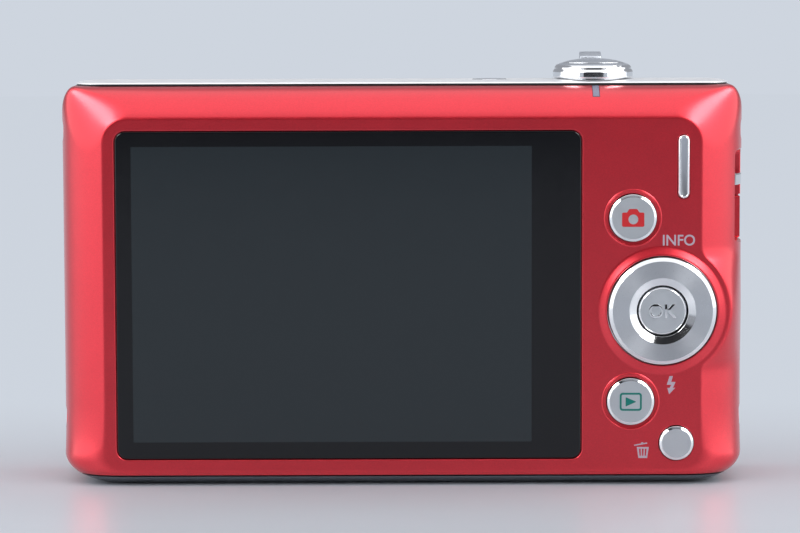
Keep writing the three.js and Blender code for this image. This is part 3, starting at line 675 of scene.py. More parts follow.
def printed(name, colour):
    """Thin ink, slightly uneven."""
    n = Nodes(name)
    n.set(Specular_IOR_Level=0.25)
    patch = n.noise(7.0, 3.0)
    n.colour(n.mixed(patch, scaled(colour, 0.86), colour))
    n.roughness(n.spread(patch, 0.4, 0.55))
    return n.material


RED = lacquer("red_lacquer", (0.76, 0.016, 0.036), (0.53, 0.008, 0.021))
PLATE = satin_metal("plate_satin", (0.93, 0.94, 0.96), 0.40, (0.05, 1, 1), metallic=0.55)
# The base plate is the top plate's satin silver drawn far darker: painted shade of the underside.
BASE_PAINTED_SHADE = satin_metal("base_satin_painted_shade", (0.26, 0.27, 0.30), 0.30, (0.05, 1, 1))
FACE = satin_metal("button_face", (0.66, 0.69, 0.73), 0.38, (1, 1, 1), grain=0.04)
CAP_TOP = satin_metal("shutter_face", (0.56, 0.59, 0.64), 0.42)
REST_FACE = satin_metal("rest_face", (0.50, 0.52, 0.57), 0.34, (1, 1, 0.2), grain=0.04)
CHROME = polished_metal("chrome")
SPUN = spun_metal("spun_face", (0.68, 0.70, 0.74), 0.30)
BARREL = satin_metal("barrel_satin", (0.62, 0.63, 0.65), 0.27, (1, 0.2, 1), grain=0.02)
STEEL = satin_metal("plated_steel", (0.52, 0.53, 0.55), 0.3)
BLACK = moulded("black_plastic", (0.012, 0.012, 0.013), 0.45)
# Dark metal of the lens blades and the inner barrel's face; on the top plate's seam strip it is
# painted shade.
DARK_METAL_AND_SEAM_SHADE = moulded("dark_metal_and_seam_shade", (0.03, 0.03, 0.033), 0.35, 6.0, 0.08)
GLASS = screen_glass("screen_glass")
CLEAR = clear_plastic("frosted_plastic", (0.86, 0.87, 0.90))
LAMP = moulded("lamp_guide", (0.21, 0.21, 0.30), 0.3, 6.0, 0.05, 0.5)
REFLECTOR = polished_metal("flash_reflector_foil", (0.86, 0.86, 0.84), 0.18)
TUBE = clear_plastic("flash_tube_glass", (0.95, 0.95, 0.95), 0.03, 0.95)
LENS_GLASS = coated_lens("coated_glass", (0.02, 0.02, 0.035))
BOARD = circuit_board("circuit_board")
GREY = moulded("grey_label", (0.16, 0.17, 0.18), 0.5, 3.0, 0.08)
LABEL = printed("label_ink", (0.54, 0.42, 0.50))
RED_INK = printed("red_ink", (0.66, 0.024, 0.030))
TEAL_INK = printed("teal_ink", (0.004, 0.20, 0.165))


# ---------------------------------------------------------------- body outlines
CORNER_STEPS = 16
BULGE_FILLET = 2.2
TOP_STEPS = (34, 22, 10, -2, -14, -26.4, -28.1, -35)  # x of points along the top
LEFT_STEPS = (7.2, 11.6, 20, 30, 40, 44.4)  # z of points up the plain side
PAD_STEPS = (  # dz from the pad of points down its side
    [19.6, 17, 14.5, 12.5]
    + [11.2 - 0.35 * k for k in range(65)]
    + [-12.5, -14, -16]
)
CORNER_SOFTNESS = 2.8  # how much rounder the top corners are half way in
TOP_CORNERS = {}  # point number to (side, step) in the two top corners
for step in range(CORNER_STEPS + 1):
    TOP_CORNERS[step] = (1, step)
    TOP_CORNERS[CORNER_STEPS + 1 + len(TOP_STEPS) + step] = (-1, CORNER_STEPS - step)
SEAM = ((0.1, 0), (0.02, 0.07), (0, 0.16))  # (inset, distance) of the rounded edge at a seam


def bulge_x(dz, side, radius):
    """x of the frame's inner edge beside the pad: a circle round it, filleted into the side."""
    reach = side - abs(PAD[0])
    fillet = BULGE_FILLET
    fillet_dz = math.sqrt((radius + fillet) ** 2 - (reach + fillet) ** 2)
    tangent_dz = fillet_dz * radius / (radius + fillet)
    d = abs(dz)
    if d >= fillet_dz:
        return -side
    if d <= tangent_dz:
        return PAD[0] - math.sqrt(radius**2 - d**2)
    return -(side + fillet) + math.sqrt(fillet**2 - (d - fillet_dz) ** 2)


def outline(side, bottom, top, top_corner, bottom_corner, bulge=0.0):
    """(x, z) points round a body section, always the same number in the same order."""
    points = []

    def corner(sx, sz, radii, start):
        cx = sx * (side - radii[0])
        cz = top - radii[1] if sz > 0 else bottom + radii[1]
        for i in range(CORNER_STEPS + 1):
            angle = (start + 0.5 * i / CORNER_STEPS) * math.pi
            points.append((cx + radii[0] * math.cos(angle), cz + radii[1] * math.sin(angle)))

    corner(1, 1, top_corner, 0.0)
    points.extend((x, top) for x in TOP_STEPS)
    corner(-1, 1, top_corner, 0.5)
    for dz in PAD_STEPS:
        points.append((bulge_x(dz, side, bulge) if bulge else -side, PAD[1] + dz))
    corner(-1, -1, bottom_corner, 1.0)
    corner(1, -1, bottom_corner, 1.5)
    points.extend((side, z) for z in LEFT_STEPS)
    return points


def body_edge(inset=0.0):
    return outline(
        HALF_WIDTH - inset, inset, COVER_TOP - inset,
        tuple(radius - inset / 2 for radius in OUTER_CORNER), (8.4 - inset, 4.3 - inset))


def panel_edge(inset=0.0):
    corner = PANEL_CORNER - inset / 2
    return outline(
        PANEL_SIDE - inset, 2.4 + inset, PANEL_TOP - inset,
        (corner, corner), (3, 3), 9.8 - inset)


def front_edge(inset=0.0):
    corner = FRONT_CORNER - inset / 2
    return outline(
        FRONT_SIDE - inset, 3 + inset, FRONT_TOP - inset,
        (corner, corner), (6 - inset, 4 - inset))


def mixed_edge(a, b, t):
    return [(lerp(p[0], q[0], t), lerp(p[1], q[1], t)) for p, q in zip(a, b)]


def crest_y(z):
    """Where the frame meets its rolled inner edge. The roll dies away towards the bottom."""
    return PANEL_Y - CREST_DROP * min(1.0, max(0.0, (z - 4) / 6))


def up_the_side(z, bottom, side, top):
    return lerp(lerp(bottom, side, smoothstep(z, 0.5, 7)), top, smoothstep(z, 51, 56))


def back_rim(z):
    return up_the_side(z, BOTTOM_RIM_Y, RIM_Y, TOP_RIM_Y)


def back_sweep(z):
    return up_the_side(z, BOTTOM_RIM_SWEEP, RIM_SWEEP, TOP_RIM_SWEEP)


def swept(outer, inner, start, end, sweep, steps, inner_corner):
    """Rings that go from an outer edge to an inner edge along part of an ellipse.

    Between the two edges the top corners are rounder, so that no mitre shows. The inner corner
    is given as (side, top, radius).
    """
    rings = []
    for k in range(steps + 1):
        ring = []
        for i, ((x, z), (to_x, to_z)) in enumerate(zip(outer, inner)):
            limit = sweep(z)
            angle = limit * k / steps
            across = 1 - (math.cos(angle) - math.cos(limit)) / (1 - math.cos(limit))
            y = lerp(start(z), end(to_z), math.sin(angle) / math.sin(limit))
            if i in TOP_CORNERS:
                x, z = soft_corner(*TOP_CORNERS[i], across, inner_corner)
            else:
                x, z = lerp(x, to_x, across), lerp(z, to_z, across)
            ring.append((x, y, z))
        rings.append(ring)
    return rings


def soft_corner(side, step, across, inner_corner):
    """A point of a top corner part of the way from the outer edge to the inner one."""
    angle = math.pi / 2 * step / CORNER_STEPS
    extra = CORNER_SOFTNESS * 4 * across * (1 - across)
    radius_x, radius_z = (lerp(r, inner_corner[2], across) + extra for r in OUTER_CORNER)
    out_x = lerp(HALF_WIDTH, inner_corner[0], across) - radius_x * (1 - math.cos(angle))
    out_z = lerp(COVER_TOP, inner_corner[1], across) - radius_z * (1 - math.sin(angle))
    return side * out_x, out_z


def seam_rings(seam_y, direction):
    return [on_y(body_edge(inset), seam_y + direction * away) for inset, away in SEAM]


def back_outer_rings():
    """The back of the body, from its seam to the flat panel."""
    rings = seam_rings(SEAM_Y, 1)
    rings += swept(body_edge(), panel_edge(), back_rim, crest_y, back_sweep, 26,
                   (PANEL_SIDE, PANEL_TOP, PANEL_CORNER))
    steps = 7
    for k in range(1, steps + 1):
        t = k / steps
        rings.append(on_y(panel_edge(CREST_WIDTH * t),
                          lambda z, t=t: lerp(crest_y(z), PANEL_Y, 2 * t - t * t)))
    return rings


# ---------------------------------------------------------------- covers
WINDOW_GAP = 0.13
BUTTON_GAP = 0.12
REST_GAP = 0.08
DISH_DEPTH = 0.15
DISH_BEAD = (  # (radius, rise) of the beaded edge of a large button's dish
    (4.12, 0), (4.07, 0), (4.03, 0.02), (3.99, 0.05), (3.95, 0.06), (3.91, 0.05),
    (3.87, 0.01), (3.84, -0.06), (3.80, -0.13), (3.74, -DISH_DEPTH))
PAD_COLLAR = (  # (radius, rise) of the raised collar round the pad
    (9.14, 0.0), (9.06, 0.0), (8.92, 0.02), (8.72, 0.08), (8.1, 0.34), (7.98, 0.39),
    (7.88, 0.42), (7.80, 0.41), (7.75, 0.36), (7.74, 0.2), (7.74, INNER_PANEL_Y - PANEL_Y))
POCKET_FLOOR_X = -45.4
POCKET_END_Y = 6.9
SLOT_Y = 2.4  # the front wall of the long slot that the strap bar and the door share


def hole_rings(shape, outlines_and_depths):
    """Rings down a hole from a face. Returns the first ring and the last, with their points."""
    rings = [shape.ring(on_y(points, y)) for points, y in outlines_and_depths]
    shape.skin(rings)
    first, last = outlines_and_depths[0][0], outlines_and_depths[-1][0]
    return (rings[0], first), (rings[-1], last)


def rolled(outline_at, edge, y, radius):
    """(points, depth) pairs that roll from a face at y into a hole of the given size."""
    pairs = [(outline_at(edge + radius + SUPPORT), y)]
    for k in range(EDGE_STEPS + 1):
        angle = math.pi / 2 * k / EDGE_STEPS
        pairs.append((outline_at(edge + radius * (1 - math.sin(angle))),
                      y - radius * (1 - math.cos(angle))))
    return pairs


def shell(outer_rings, border, holes, inner_rings):
    """A cover: an outer skin to a flat face, holes through it, and an inner skin.

    The border and each ring of the holes and the inner skin are (points, depth) pairs.
    """
    shape = Shape()
    outer = [shape.ring(ring) for ring in [*outer_rings, on_y(*border)]]
    shape.skin(outer)
    ends = [hole_rings(shape, pairs) for pairs in holes]
    flat_cap(shape, (outer[-1], border[0]), [first for first, _ in ends],
             lambda p: (p.x, border[1], p.y))
    inner = [shape.ring(on_y(points, y)) for points, y in inner_rings]
    shape.bridge(outer[0], inner[0])
    shape.skin(inner)
    last, inner_y = inner_rings[-1]
    flat_cap(shape, (inner[-1], last), [end for _, end in ends], lambda p: (p.x, inner_y, p.y))
    return shape


def window_outline(grow):
    return plan_of("display_window", (X, Z), 1.4 + grow, grow)


def rest_outline(grow):
    low_x, high_x = span("thumb_rest", X)
    return plan_of("thumb_rest", (X, Z), (high_x - low_x) / 2 + grow - 0.001, grow, 12)


def button_hole(x, z, radius):
    """A hole for a button's cap. The large buttons' holes lie in a dish with a beaded edge."""
    def at(r):
        return circle((x, z), r, 72)
    floor, pairs = PANEL_Y, []
    if radius > 3:
        floor -= DISH_DEPTH
        pairs = [(at(r), PANEL_Y + rise) for r, rise in DISH_BEAD]
    return [*pairs, *rolled(at, radius + BUTTON_GAP, floor, 0.06),
            (at(radius + BUTTON_GAP), INNER_PANEL_Y)]


def back_cover_shell():
    glass_x, glass_z = span("display_window", X), span("display_window", Z)
    ledge = rounded_box((glass_x[0] + 1.75, glass_x[1] - 1.35),
                        (glass_z[0] + 1.6, glass_z[1] - 1.5), 1)
    ledge_y = PANEL_Y - 0.95
    holes = [[*rolled(window_outline, WINDOW_GAP, PANEL_Y, 0.10),
              (window_outline(WINDOW_GAP), ledge_y), (ledge, ledge_y), (ledge, INNER_PANEL_Y)]]
    holes += [button_hole(*button) for button in BUTTONS.values()]
    holes.append([*rolled(rest_outline, REST_GAP, PANEL_Y, 0.07),
                  (rest_outline(REST_GAP), INNER_PANEL_Y)])
    holes.append([(circle(PAD, r, 128), PANEL_Y + rise) for r, rise in PAD_COLLAR])
    wall, panel = body_edge(WALL), panel_edge(0.9)
    inner = [(wall, SEAM_Y), (wall, RIM_Y), (mixed_edge(wall, panel, 0.3), 6.6),
             (mixed_edge(wall, panel, 0.87), INNER_PANEL_Y)]
    return shell(back_outer_rings(), (panel_edge(0.52), PANEL_Y), holes, inner)


def side_x(y):
    """How far out the back cover's side is at a depth y."""
    if y <= RIM_Y:
        return HALF_WIDTH
    along = (y - RIM_Y) / (PANEL_Y - CREST_DROP - RIM_Y) * math.sin(RIM_SWEEP)
    across = (math.sqrt(max(0.0, 1 - along**2)) - math.cos(RIM_SWEEP)) / (1 - math.cos(RIM_SWEEP))
    return lerp(PANEL_SIDE, HALF_WIDTH, across)


def pocket_tool(spans_y, spans_z, corner, chamfer):
    """Cuts a pocket into the -X side, with a small chamfer that follows the curved face."""
    def plan(grow):
        return rounded_box((spans_y[0] - grow, spans_y[1] + grow),
                           (spans_z[0] - grow, spans_z[1] + grow), corner + grow)

    rings = [on_x(plan(chamfer), -HALF_WIDTH - 1.5)]
    for grow, lift in ((chamfer, 0.20), (0.0, -0.12)):
        rings.append([(-side_x(y) - lift, y, z) for y, z in plan(grow)])
    return lofted([*rings, on_x(plan(0), POCKET_FLOOR_X)])


def screw_tool(name, side):
    """Cuts a side screw's recess, with a chamfered mouth."""
    profile = [(0, -2.2), (1.5, -2.2), (1.5, -0.10), (1.62, 0.0), (1.75, 0.13), (1.75, 1), (0, 1)]
    return turned([(r, h * side) for r, h in profile],
                  (side * HALF_WIDTH, *centre_of(name, Y, Z)), "x", 40)


def side_of(screw):
    return 1 if centre_of(screw, X)[0] > 0 else -1


def slots_tool():
    """What both covers lose to the top plate and the base plate."""
    tool = block((-60, 60), (-14, 14), (-6, BASE_SEAM_Z))
    plan = plan_of("top_plate", (X, Y), 4.2, 0.2, 12)
    return tool.add(stacked(plan, [(0, TOP + 4), (0, COVER_TOP - 1.3)], on_z))


def make_back_cover():
    piece = made("back_cover_shell", back_cover_shell(), [RED])
    pocket_y = -0.3
    door_z, bar_z = span("terminal_door", Z), span("strap_bar", Z)
    backing = block((-45.9, -44.2), (pocket_y - 0.3, POCKET_END_Y - 0.3),
                    (door_z[0] - 1.2, bar_z[1] + 4.3))
    carved(piece, backing, "UNION")
    tool = slots_tool()
    tool.add(pocket_tool((pocket_y, POCKET_END_Y), (door_z[0] - 0.2, door_z[1] + 0.2), 0.45, 0.08))
    tool.add(pocket_tool((SLOT_Y, POCKET_END_Y), (door_z[0] - 0.2, bar_z[1] + 3.3), 0.8, 0.30))
    for name in SCREWS:
        tool.add(screw_tool(name, side_of(name)))
    carved(piece, tool)
    lamp_x = span("status_lamp", X)
    notch = block((lamp_x[0] - 0.06, lamp_x[1] + 0.06), (4, 9.2), (54.59, COVER_TOP + 1))
    socket = block((-47.6, -44), (1.3, 4.5), (34.75, 39.95))
    carved(piece, notch.add(socket))
    fitted(piece, "body", "cover_red", "back_cover")


def make_front_cover():
    rings = seam_rings(FRONT_SEAM_Y, -1)
    rings += swept(body_edge(), front_edge(), lambda z: FRONT_RIM_Y, lambda z: FRONT_Y,
                   lambda z: math.pi / 2, 20, (FRONT_SIDE, FRONT_TOP, FRONT_CORNER))
    inner_y = FRONT_Y + WALL

    def flash_outline(grow):
        return plan_of("flash_window", (X, Z), 1.1 + grow, grow)

    def round_outline(centre, count=48):
        return lambda grow: circle(centre, grow, count)

    mic = centre_of("microphone", X, Z)
    openings = [(flash_outline, 0.1, 0.1), (round_outline(LENS, 128), 15.4, 0.1),
                (round_outline(centre_of("focus_lamp", X, Z)), 2.0, 0.1)]
    openings += [(round_outline((mic[0] + dx, mic[1]), 20), 0.35, 0.06) for dx in (-1.4, 0, 1.4)]
    holes = []
    for at, edge, radius in openings:
        pairs = [(points, 2 * FRONT_Y - y) for points, y in rolled(at, edge, FRONT_Y, radius)]
        holes.append([*pairs, (at(edge), inner_y)])
    wall = body_edge(WALL)
    inner = [(wall, FRONT_SEAM_Y), (wall, FRONT_RIM_Y), (front_edge(0.8), inner_y)]
    piece = made("front_cover_shell", shell(rings, (front_edge(0.1), FRONT_Y), holes, inner), [RED])
    carved(piece, slots_tool())
    fitted(piece, "body", "cover_red", "front_cover")


def filled_body():
    """The whole body as one solid, to take curved trim pieces from."""
    edge = body_edge()
    return lofted([on_y(edge, -6.5), on_y(edge, SEAM_Y), *back_outer_rings()[len(SEAM):]])


# ---------------------------------------------------------------- screen, thumb rest, lamp
def make_window():
    shape = stacked(window_outline(0), edge_levels(*span("display_window", Y), 0.18, 0.08), on_y)
    built("display_glass", shape, [GLASS], "body", "screen_glass", "display_window")


def make_thumb_rest():
    """A slim bar with a polished rim round a satin face."""
    low, high = span("thumb_rest", Y)
    shape = Shape()
    rim = [(0, low), (0, high - 0.26), (-0.02, high - 0.17), (-0.08, high - 0.08),
           (-0.16, high - 0.02), (-0.24, high),
           (-0.28, high - 0.03), (-0.32, high - 0.10), (-0.37, high - 0.12)]
    rings = [shape.ring(on_y(rest_outline(grow), y)) for grow, y in rim]
    shape.skin(rings)
    shape.face(rings[0])
    shape.face(rings[-1], 1)
    built("thumb_bar", shape, [CHROME, REST_FACE], "body", "control_chrome", "thumb_rest")


def make_status_lamp():
    piece = made("lamp_guide", filled_body(), [LAMP])
    low_z = span("status_lamp", Z)[0]
    carved(piece, block(span("status_lamp", X), (5.9, 9.2), (low_z, COVER_TOP - 0.1)), "INTERSECT")
    fitted(piece, "body", "clear_plastic", "status_lamp")


# ---------------------------------------------------------------- buttons on the back
def cap_finish(face_radius, top):
    """Material 1 on the flat face of a cap, 0 on its polished rim and its sides."""
    return lambda radius, height: 1 if height > top - 0.06 and radius < face_radius else 0


def make_button(name):
    x, z, radius = BUTTONS[name]
    rim = 0.34
    profile = filleted([
        (0, -3.25, 0), (0.9, -3.25), (0.9, -2.5), (radius + 0.7, -2.5), (radius + 0.7, -1.9),
        (radius, -1.9), (radius, CAP_RISE - 0.17, 0.06), (radius - rim, CAP_RISE, 0.08),
        (0, CAP_RISE, 0),
    ], 0.06, 4)
    shape = turned(profile, (x, PANEL_Y, z), finishes=cap_finish(radius - rim - 0.02, CAP_RISE))
    built(name.replace("button", "cap"), shape, [CHROME, FACE], name.replace("_button", ""),
          "control_chrome", name)


def make_control_ring():
    """The pad's ring: a spun face between a polished outer chamfer and a polished dish."""
    profile = filleted([
        (3.55, -2.7), (8.4, -2.7), (8.4, -2.2), (7.52, -2.2), (7.52, 0.80, 0.08),
        (7.0, 1.16, 0.06), (4.66, 1.12, 0.05), (3.62, 0.74, 0.06), (3.55, 0.4, 0.04),
    ], 0.06, 5)
    shape = turned(profile, PAD_AXIS, "y", 160,
                   lambda radius, height: 1 if 4.64 < radius < 7.02 and height > 1.09 else 0)
    built("pad_ring", shape, [CHROME, SPUN], "pad", "control_chrome", "control_ring")


def make_set_button():
    profile = filleted([
        (0, -3.36, 0), (3.7, -3.36), (3.7, -3.14), (3.36, -3.14), (3.36, SET_RISE - 0.22, 0.10),
        (3.14, SET_RISE, 0.10), (0, SET_RISE, 0),
    ], 0.06, 4)
    shape = turned(profile, PAD_AXIS, "y", 120, cap_finish(3.12, SET_RISE))
    built("pad_centre", shape, [CHROME, FACE], "set", "control_chrome", "set_button")


# ---------------------------------------------------------------- symbols and lettering
INK = 0.03  # how far printed marks stand out, and how far they go in
INK_SINK = 0.02


def facing_back(x, z, points):
    """Flat points drawn as seen from behind, +right and +up, placed on the panel."""
    return [(x - right, z + up) for right, up in points]


def make_symbol(name, body, material, slot, x, z, depth, parts):
    """Thin raised ink. Each part is an outline with its holes, drawn as seen from behind."""
    shape = Shape()
    for outer, holes in parts:
        shape.add(stacked(facing_back(x, z, outer), [(0, depth + INK), (0, depth - INK_SINK)],
                          on_y, [facing_back(x, z, hole) for hole in holes]))
    built(name, shape, [material], body, slot)


def bar(start, end, width):
    """A straight stroke between two points."""
    a, b = Vector(start), Vector(end)
    along = (b - a).normalized()
    side = Vector((-along.y, along.x)) * width / 2
    return [tuple(a + side), tuple(a - side), tuple(b - side), tuple(b + side)]


def make_symbols():
    rise = PANEL_Y + CAP_RISE
    x, z, _ = BUTTONS["record_button"]
    body = filleted([
        (-1.55, -1.22, 0.22), (1.55, -1.22, 0.22), (1.55, 0.78, 0.22), (0.86, 0.78, 0.12),
        (0.56, 1.27, 0.22), (-0.56, 1.27, 0.22), (-0.86, 0.78, 0.12), (-1.55, 0.78, 0.22),
    ], 0.2, 5, strips=False)
    make_symbol("record_symbol", "record", RED_INK, "control_chrome", x, z, rise,
                [(body, [circle((0.02, -0.18), 0.69, 40)])])
    x, z, _ = BUTTONS["play_button"]
    frame_outer = rounded_box((-1.55, 1.55), (-1.27, 1.27), 0.42)
    frame_inner = rounded_box((-1.29, 1.29), (-1.01, 1.01), 0.20)
    triangle = filleted([(-0.72, 0.66), (-0.72, -0.66), (0.80, 0.0)], 0.05, 3, strips=False)
    make_symbol("play_symbol", "play", TEAL_INK, "control_chrome", x, z, rise,
                [(frame_outer, [frame_inner]), (triangle, [])])
    bolt = [(-0.12, 1.25), (0.34, 1.25), (0.10, 0.42), (0.72, 0.42), (0.34, -0.42),
            (0.66, -0.42), (-0.18, -1.32), (-0.44, -0.42), (-0.10, -0.42), (0.12, 0.02),
            (-0.52, 0.02)]
    make_symbol("flash_symbol", "body", LABEL, "cover_red", -37.6, 14.2, PANEL_Y, [(bolt, [])])
    slots = [[(s - 0.12, 0.22), (s * 0.84 - 0.09, -0.78), (s * 0.84 + 0.09, -0.78),
              (s + 0.12, 0.22)] for s in (-0.42, 0.0, 0.42)]
    can = [(-0.84, 0.46), (-0.62, -1.10), (0.62, -1.10), (0.84, 0.46)]
    lid = bar((-1.22, 0.70), (0.62, 1.02), 0.17)
    knob = bar((-0.24, 1.02), (0.06, 1.07), 0.17)
    make_symbol("delete_symbol", "body", LABEL, "cover_red", -33.75, 4.95, PANEL_Y,
                [(can, slots), (lid, []), (knob, [])])


def make_text(name, words, size, place, depth, thick, bevel, *fit):
    """Plain lettering that reads from behind, fitted to a width and a height."""
    curve = bpy.data.curves.new(name, "FONT")
    curve.body = words
    curve.size = 1.0
    curve.offset = 0.012
    curve.extrude = 0.05
    curve.resolution_u = 6
    source = linked(name + "_source", curve)
    graph = bpy.context.evaluated_depsgraph_get()
    mesh = bpy.data.meshes.new_from_object(source.evaluated_get(graph))
    bpy.data.objects.remove(source)
    low = [min(v.co[i] for v in mesh.vertices) for i in range(3)]
    high = [max(v.co[i] for v in mesh.vertices) for i in range(3)]
    for v in mesh.vertices:
        across, up = ((v.co[i] - (low[i] + high[i]) / 2) / (high[i] - low[i]) * size[i]
                      for i in (0, 1))
        out = (v.co.z - low[2]) / (high[2] - low[2]) * (thick + INK_SINK) - INK_SINK
        v.co = Vector((place[0] - across, depth + out, place[1] + up)) * MM
    welded(mesh, 1e-7)
    mesh.materials.clear()
    mesh.materials.append(fit[0])
    smooth(mesh, 30)
    mesh.name = name
    piece = linked(name, mesh)
    if bevel:
        modified(piece, "BEVEL", 30, width=bevel * MM, segments=2, limit_method="ANGLE",
                 angle_limit=math.radians(50), use_clamp_overlap=True)
    fitted(piece, *fit[1:])


# ---------------------------------------------------------------- top plate and its controls
SPEAKER_X = (33.5, 35.2, 36.9, 38.6, 40.3)


def make_top_plate():
    plan = plan_of("top_plate", (X, Y), 4, 0, 16)
    levels = [(-2.4, TOP), (-2.2, TOP), (-1.5, TOP - 0.03), (-0.9, TOP - 0.09), (-0.5, TOP - 0.16),
              (-0.25, TOP - 0.22), (-0.08, TOP - 0.31), (0, TOP - 0.42)]
    under = TOP - 1.1
    # The set-back strip under the plate's edge takes the dark finish: painted shade in the seam
    # between plate and cover.
    seam = [(-0.14, TOP - 0.43), (-0.14, under)]
    holes = [circle(ZOOM, 4.7, 72), circle(POWER, 2.72, 48)]
    holes += [circle((x, 0.0), 0.45, 20) for x in SPEAKER_X]
    shape = Shape()
    walls = [shape.ring(on_z(grown(plan, grow), z)) for grow, z in levels + seam]
    shape.skin(walls[:len(levels)])
    shape.skin(walls[len(levels) - 1:], 1)
    tops, bottoms = [], []
    for hole in holes:
        rings = [shape.ring(on_z(grown(hole, grow), z)) for grow, z in (
            (0.13, TOP), (0.08, TOP), (0.02, TOP - 0.03), (0, TOP - 0.09), (0, under))]
        shape.skin(rings)
        tops.append((rings[0], grown(hole, 0.13)))
        bottoms.append((rings[-1], hole))
    flat_cap(shape, (walls[0], grown(plan, levels[0][0])), tops, lambda p: (p.x, p.y, TOP))
    flat_cap(shape, (walls[-1], grown(plan, seam[-1][0])), bottoms, lambda p: (p.x, p.y, under))
    built("top_strip", shape, [PLATE, DARK_METAL_AND_SEAM_SHADE], "body", "plate_silver", "top_plate")


def make_zoom_lever():
    """A ring with a finger tab."""
    ring = turned(filleted([
        (4.35, -0.2), (4.35, 2.33, 0.06), (5.18, 2.02, 0.25), (5.46, 1.66, 0.06),
        (5.46, 1.43, 0.04), (5.70, 1.06, 0.10), (5.70, 0.2, 0.16), (4.5, 0.2), (4.5, -2),
        (1.2, -2), (1.2, -1.6), (3.6, -1.6), (3.6, -0.2),
    ], 0.05, 5), ZOOM_AXIS, "z", 120,
                  lambda radius, height: 1 if height > 1.97 and 4.3 < radius < 5.2 else 0)
    profile = filleted([
        (-5.0, 0.5), (-5.0, 3.05, 0.3), (-6.3, 3.52, 0.5), (-6.85, 3.73, 0.12),
        (-7.1, 3.4, 0.2), (-7.0, 1.4, 0.3), (-6.2, 0.5, 0.3),
    ], 0.2, 6, strips=False)
    outline_yz = [(y + ZOOM[1], z + TOP) for y, z in profile]
    edge = [(-0.20, 1.55), (-0.10, 1.54), (-0.03, 1.48), (0, 1.38)]
    levels = edge + [(grow, -away) for grow, away in reversed(edge)]
    tab = lofted([on_x(grown(outline_yz, grow), ZOOM[0] + away) for grow, away in levels])
    built("zoom_ring", ring.add(tab, 1), [CHROME, CAP_TOP], "zoom", "control_chrome",
          "zoom_lever", sharp=32)


def make_shutter_button():
    profile = filleted([
        (0, -3.5, 0), (0.9, -3.5), (0.9, -0.5), (2, -0.5), (2, 0.9), (4.2, 0.9), (4.2, 2.38, 0.05),
        (3.3, 2.64, 2.5), (1.8, 2.86, 4), (0, 2.94, 0),
    ], 0.05, 6, strips=False)
    shape = turned(profile, ZOOM_AXIS, "z", 120,
                   lambda radius, height: 1 if height > 2.3 and radius < 4.15 else 0)
    built("shutter_cap", shape, [CHROME, CAP_TOP], "shutter", "control_chrome", "shutter_button")


def make_power_button():
    profile = filleted([
        (0, -4.2, 0), (0.8, -4.2), (0.8, -1.9), (3.2, -1.9), (3.2, -1.3), (2.6, -1.3),
        (2.6, -0.12, 0.1), (2.35, 0.05, 0.1), (1.9, -0.02, 0.2), (0, -0.05, 0),
    ], 0.05, 5)
    shape = turned(profile, (*POWER, TOP), "z", 72,
                   lambda radius, height: 1 if height > -0.1 and radius < 2.2 else 0)
    built("power_cap", shape, [CHROME, FACE], "power", "control_chrome", "power_button")
    angles = [math.radians(130 + 280 * k / 32) for k in range(33)]
    ring = [(0.75 * math.cos(a), 0.75 * math.sin(a)) for a in angles]
    inner = [(p[0] * 0.8, p[1] * 0.8) for p in reversed(ring)]
    shape = Shape()
    for part in (ring + inner, bar((0, 0.25), (0, 0.95), 0.16)):
        points = [(POWER[0] - a, POWER[1] - b) for a, b in part]
        shape.add(stacked(points, [(0, TOP - 0.005), (0, TOP - 0.06)], on_z))
    built("power_symbol", shape, [LABEL], "power", "control_chrome")


# ---------------------------------------------------------------- sides
def make_strap_bar():
    """A flat staple bent over the strap pocket."""
    low_z, high_z = span("strap_bar", Z)
    depths = [SLOT_Y, 3.2, 3.8, 4.4, 4.9, 5.3, 5.7, 6.1, 6.5, 6.8]
    outer = [(-side_x(y), y) for y in depths]
    foot = span("strap_bar", X)[1]
    inner = [(foot, 6.8), (foot, 6.1), (-side_x(6.0) + 0.8, 6.0), (-HALF_WIDTH + 0.8, 3.9),
             (-HALF_WIDTH + 0.8, 3.2), (foot, 3.2), (foot, SLOT_Y)]
    shape = stacked(outer + inner, edge_levels(low_z, high_z, 0.18, 0.18), on_z)
    built("strap_staple", shape, [CHROME], "body", "control_chrome", "strap_bar")


def make_terminal_door():
    """A flap with a raised front strip and a sunk field, and a knuckle on its hinge edge."""
    low_z, high_z = span("terminal_door", Z)
    outer = [(-side_x(y) + 0.05, y) for y in (lerp(0.35, SLOT_Y, k / 8) for k in range(9))]
    outer += [(min(-46.1, -side_x(y) + 1.0), y)
              for y in (lerp(SLOT_Y + 0.04, 6.75, k / 16) for k in range(17))]
    inner = [(max(x + 0.6, -HALF_WIDTH + 0.95), y) for x, y in reversed(outer)]
    leaf = stacked(outer + inner, edge_levels(low_z, high_z, 0.14, 0.14), on_z)
    knuckle = turned(filleted([(0, low_z, 0), (0.47, low_z), (0.47, high_z), (0, high_z, 0)], 0.08),
                     (-HALF_WIDTH + 0.5, 0.35, 0), "z", 32)
    built("terminal_flap_skin", leaf.add(knuckle), [RED], "terminal_flap", "cover_red",
          "terminal_door")


SCREW_SINK = 0.6  # the side screws' heads sit this deep in their recesses


def cross(a, w):
    """A cross-shaped outline from the length and half the width of an arm."""
    return [(w, w), (w, a), (-w, a), (-w, w), (-a, w), (-a, -w), (-w, -w), (-w, -a), (w, -a),
            (w, -w), (a, -w), (a, w)]


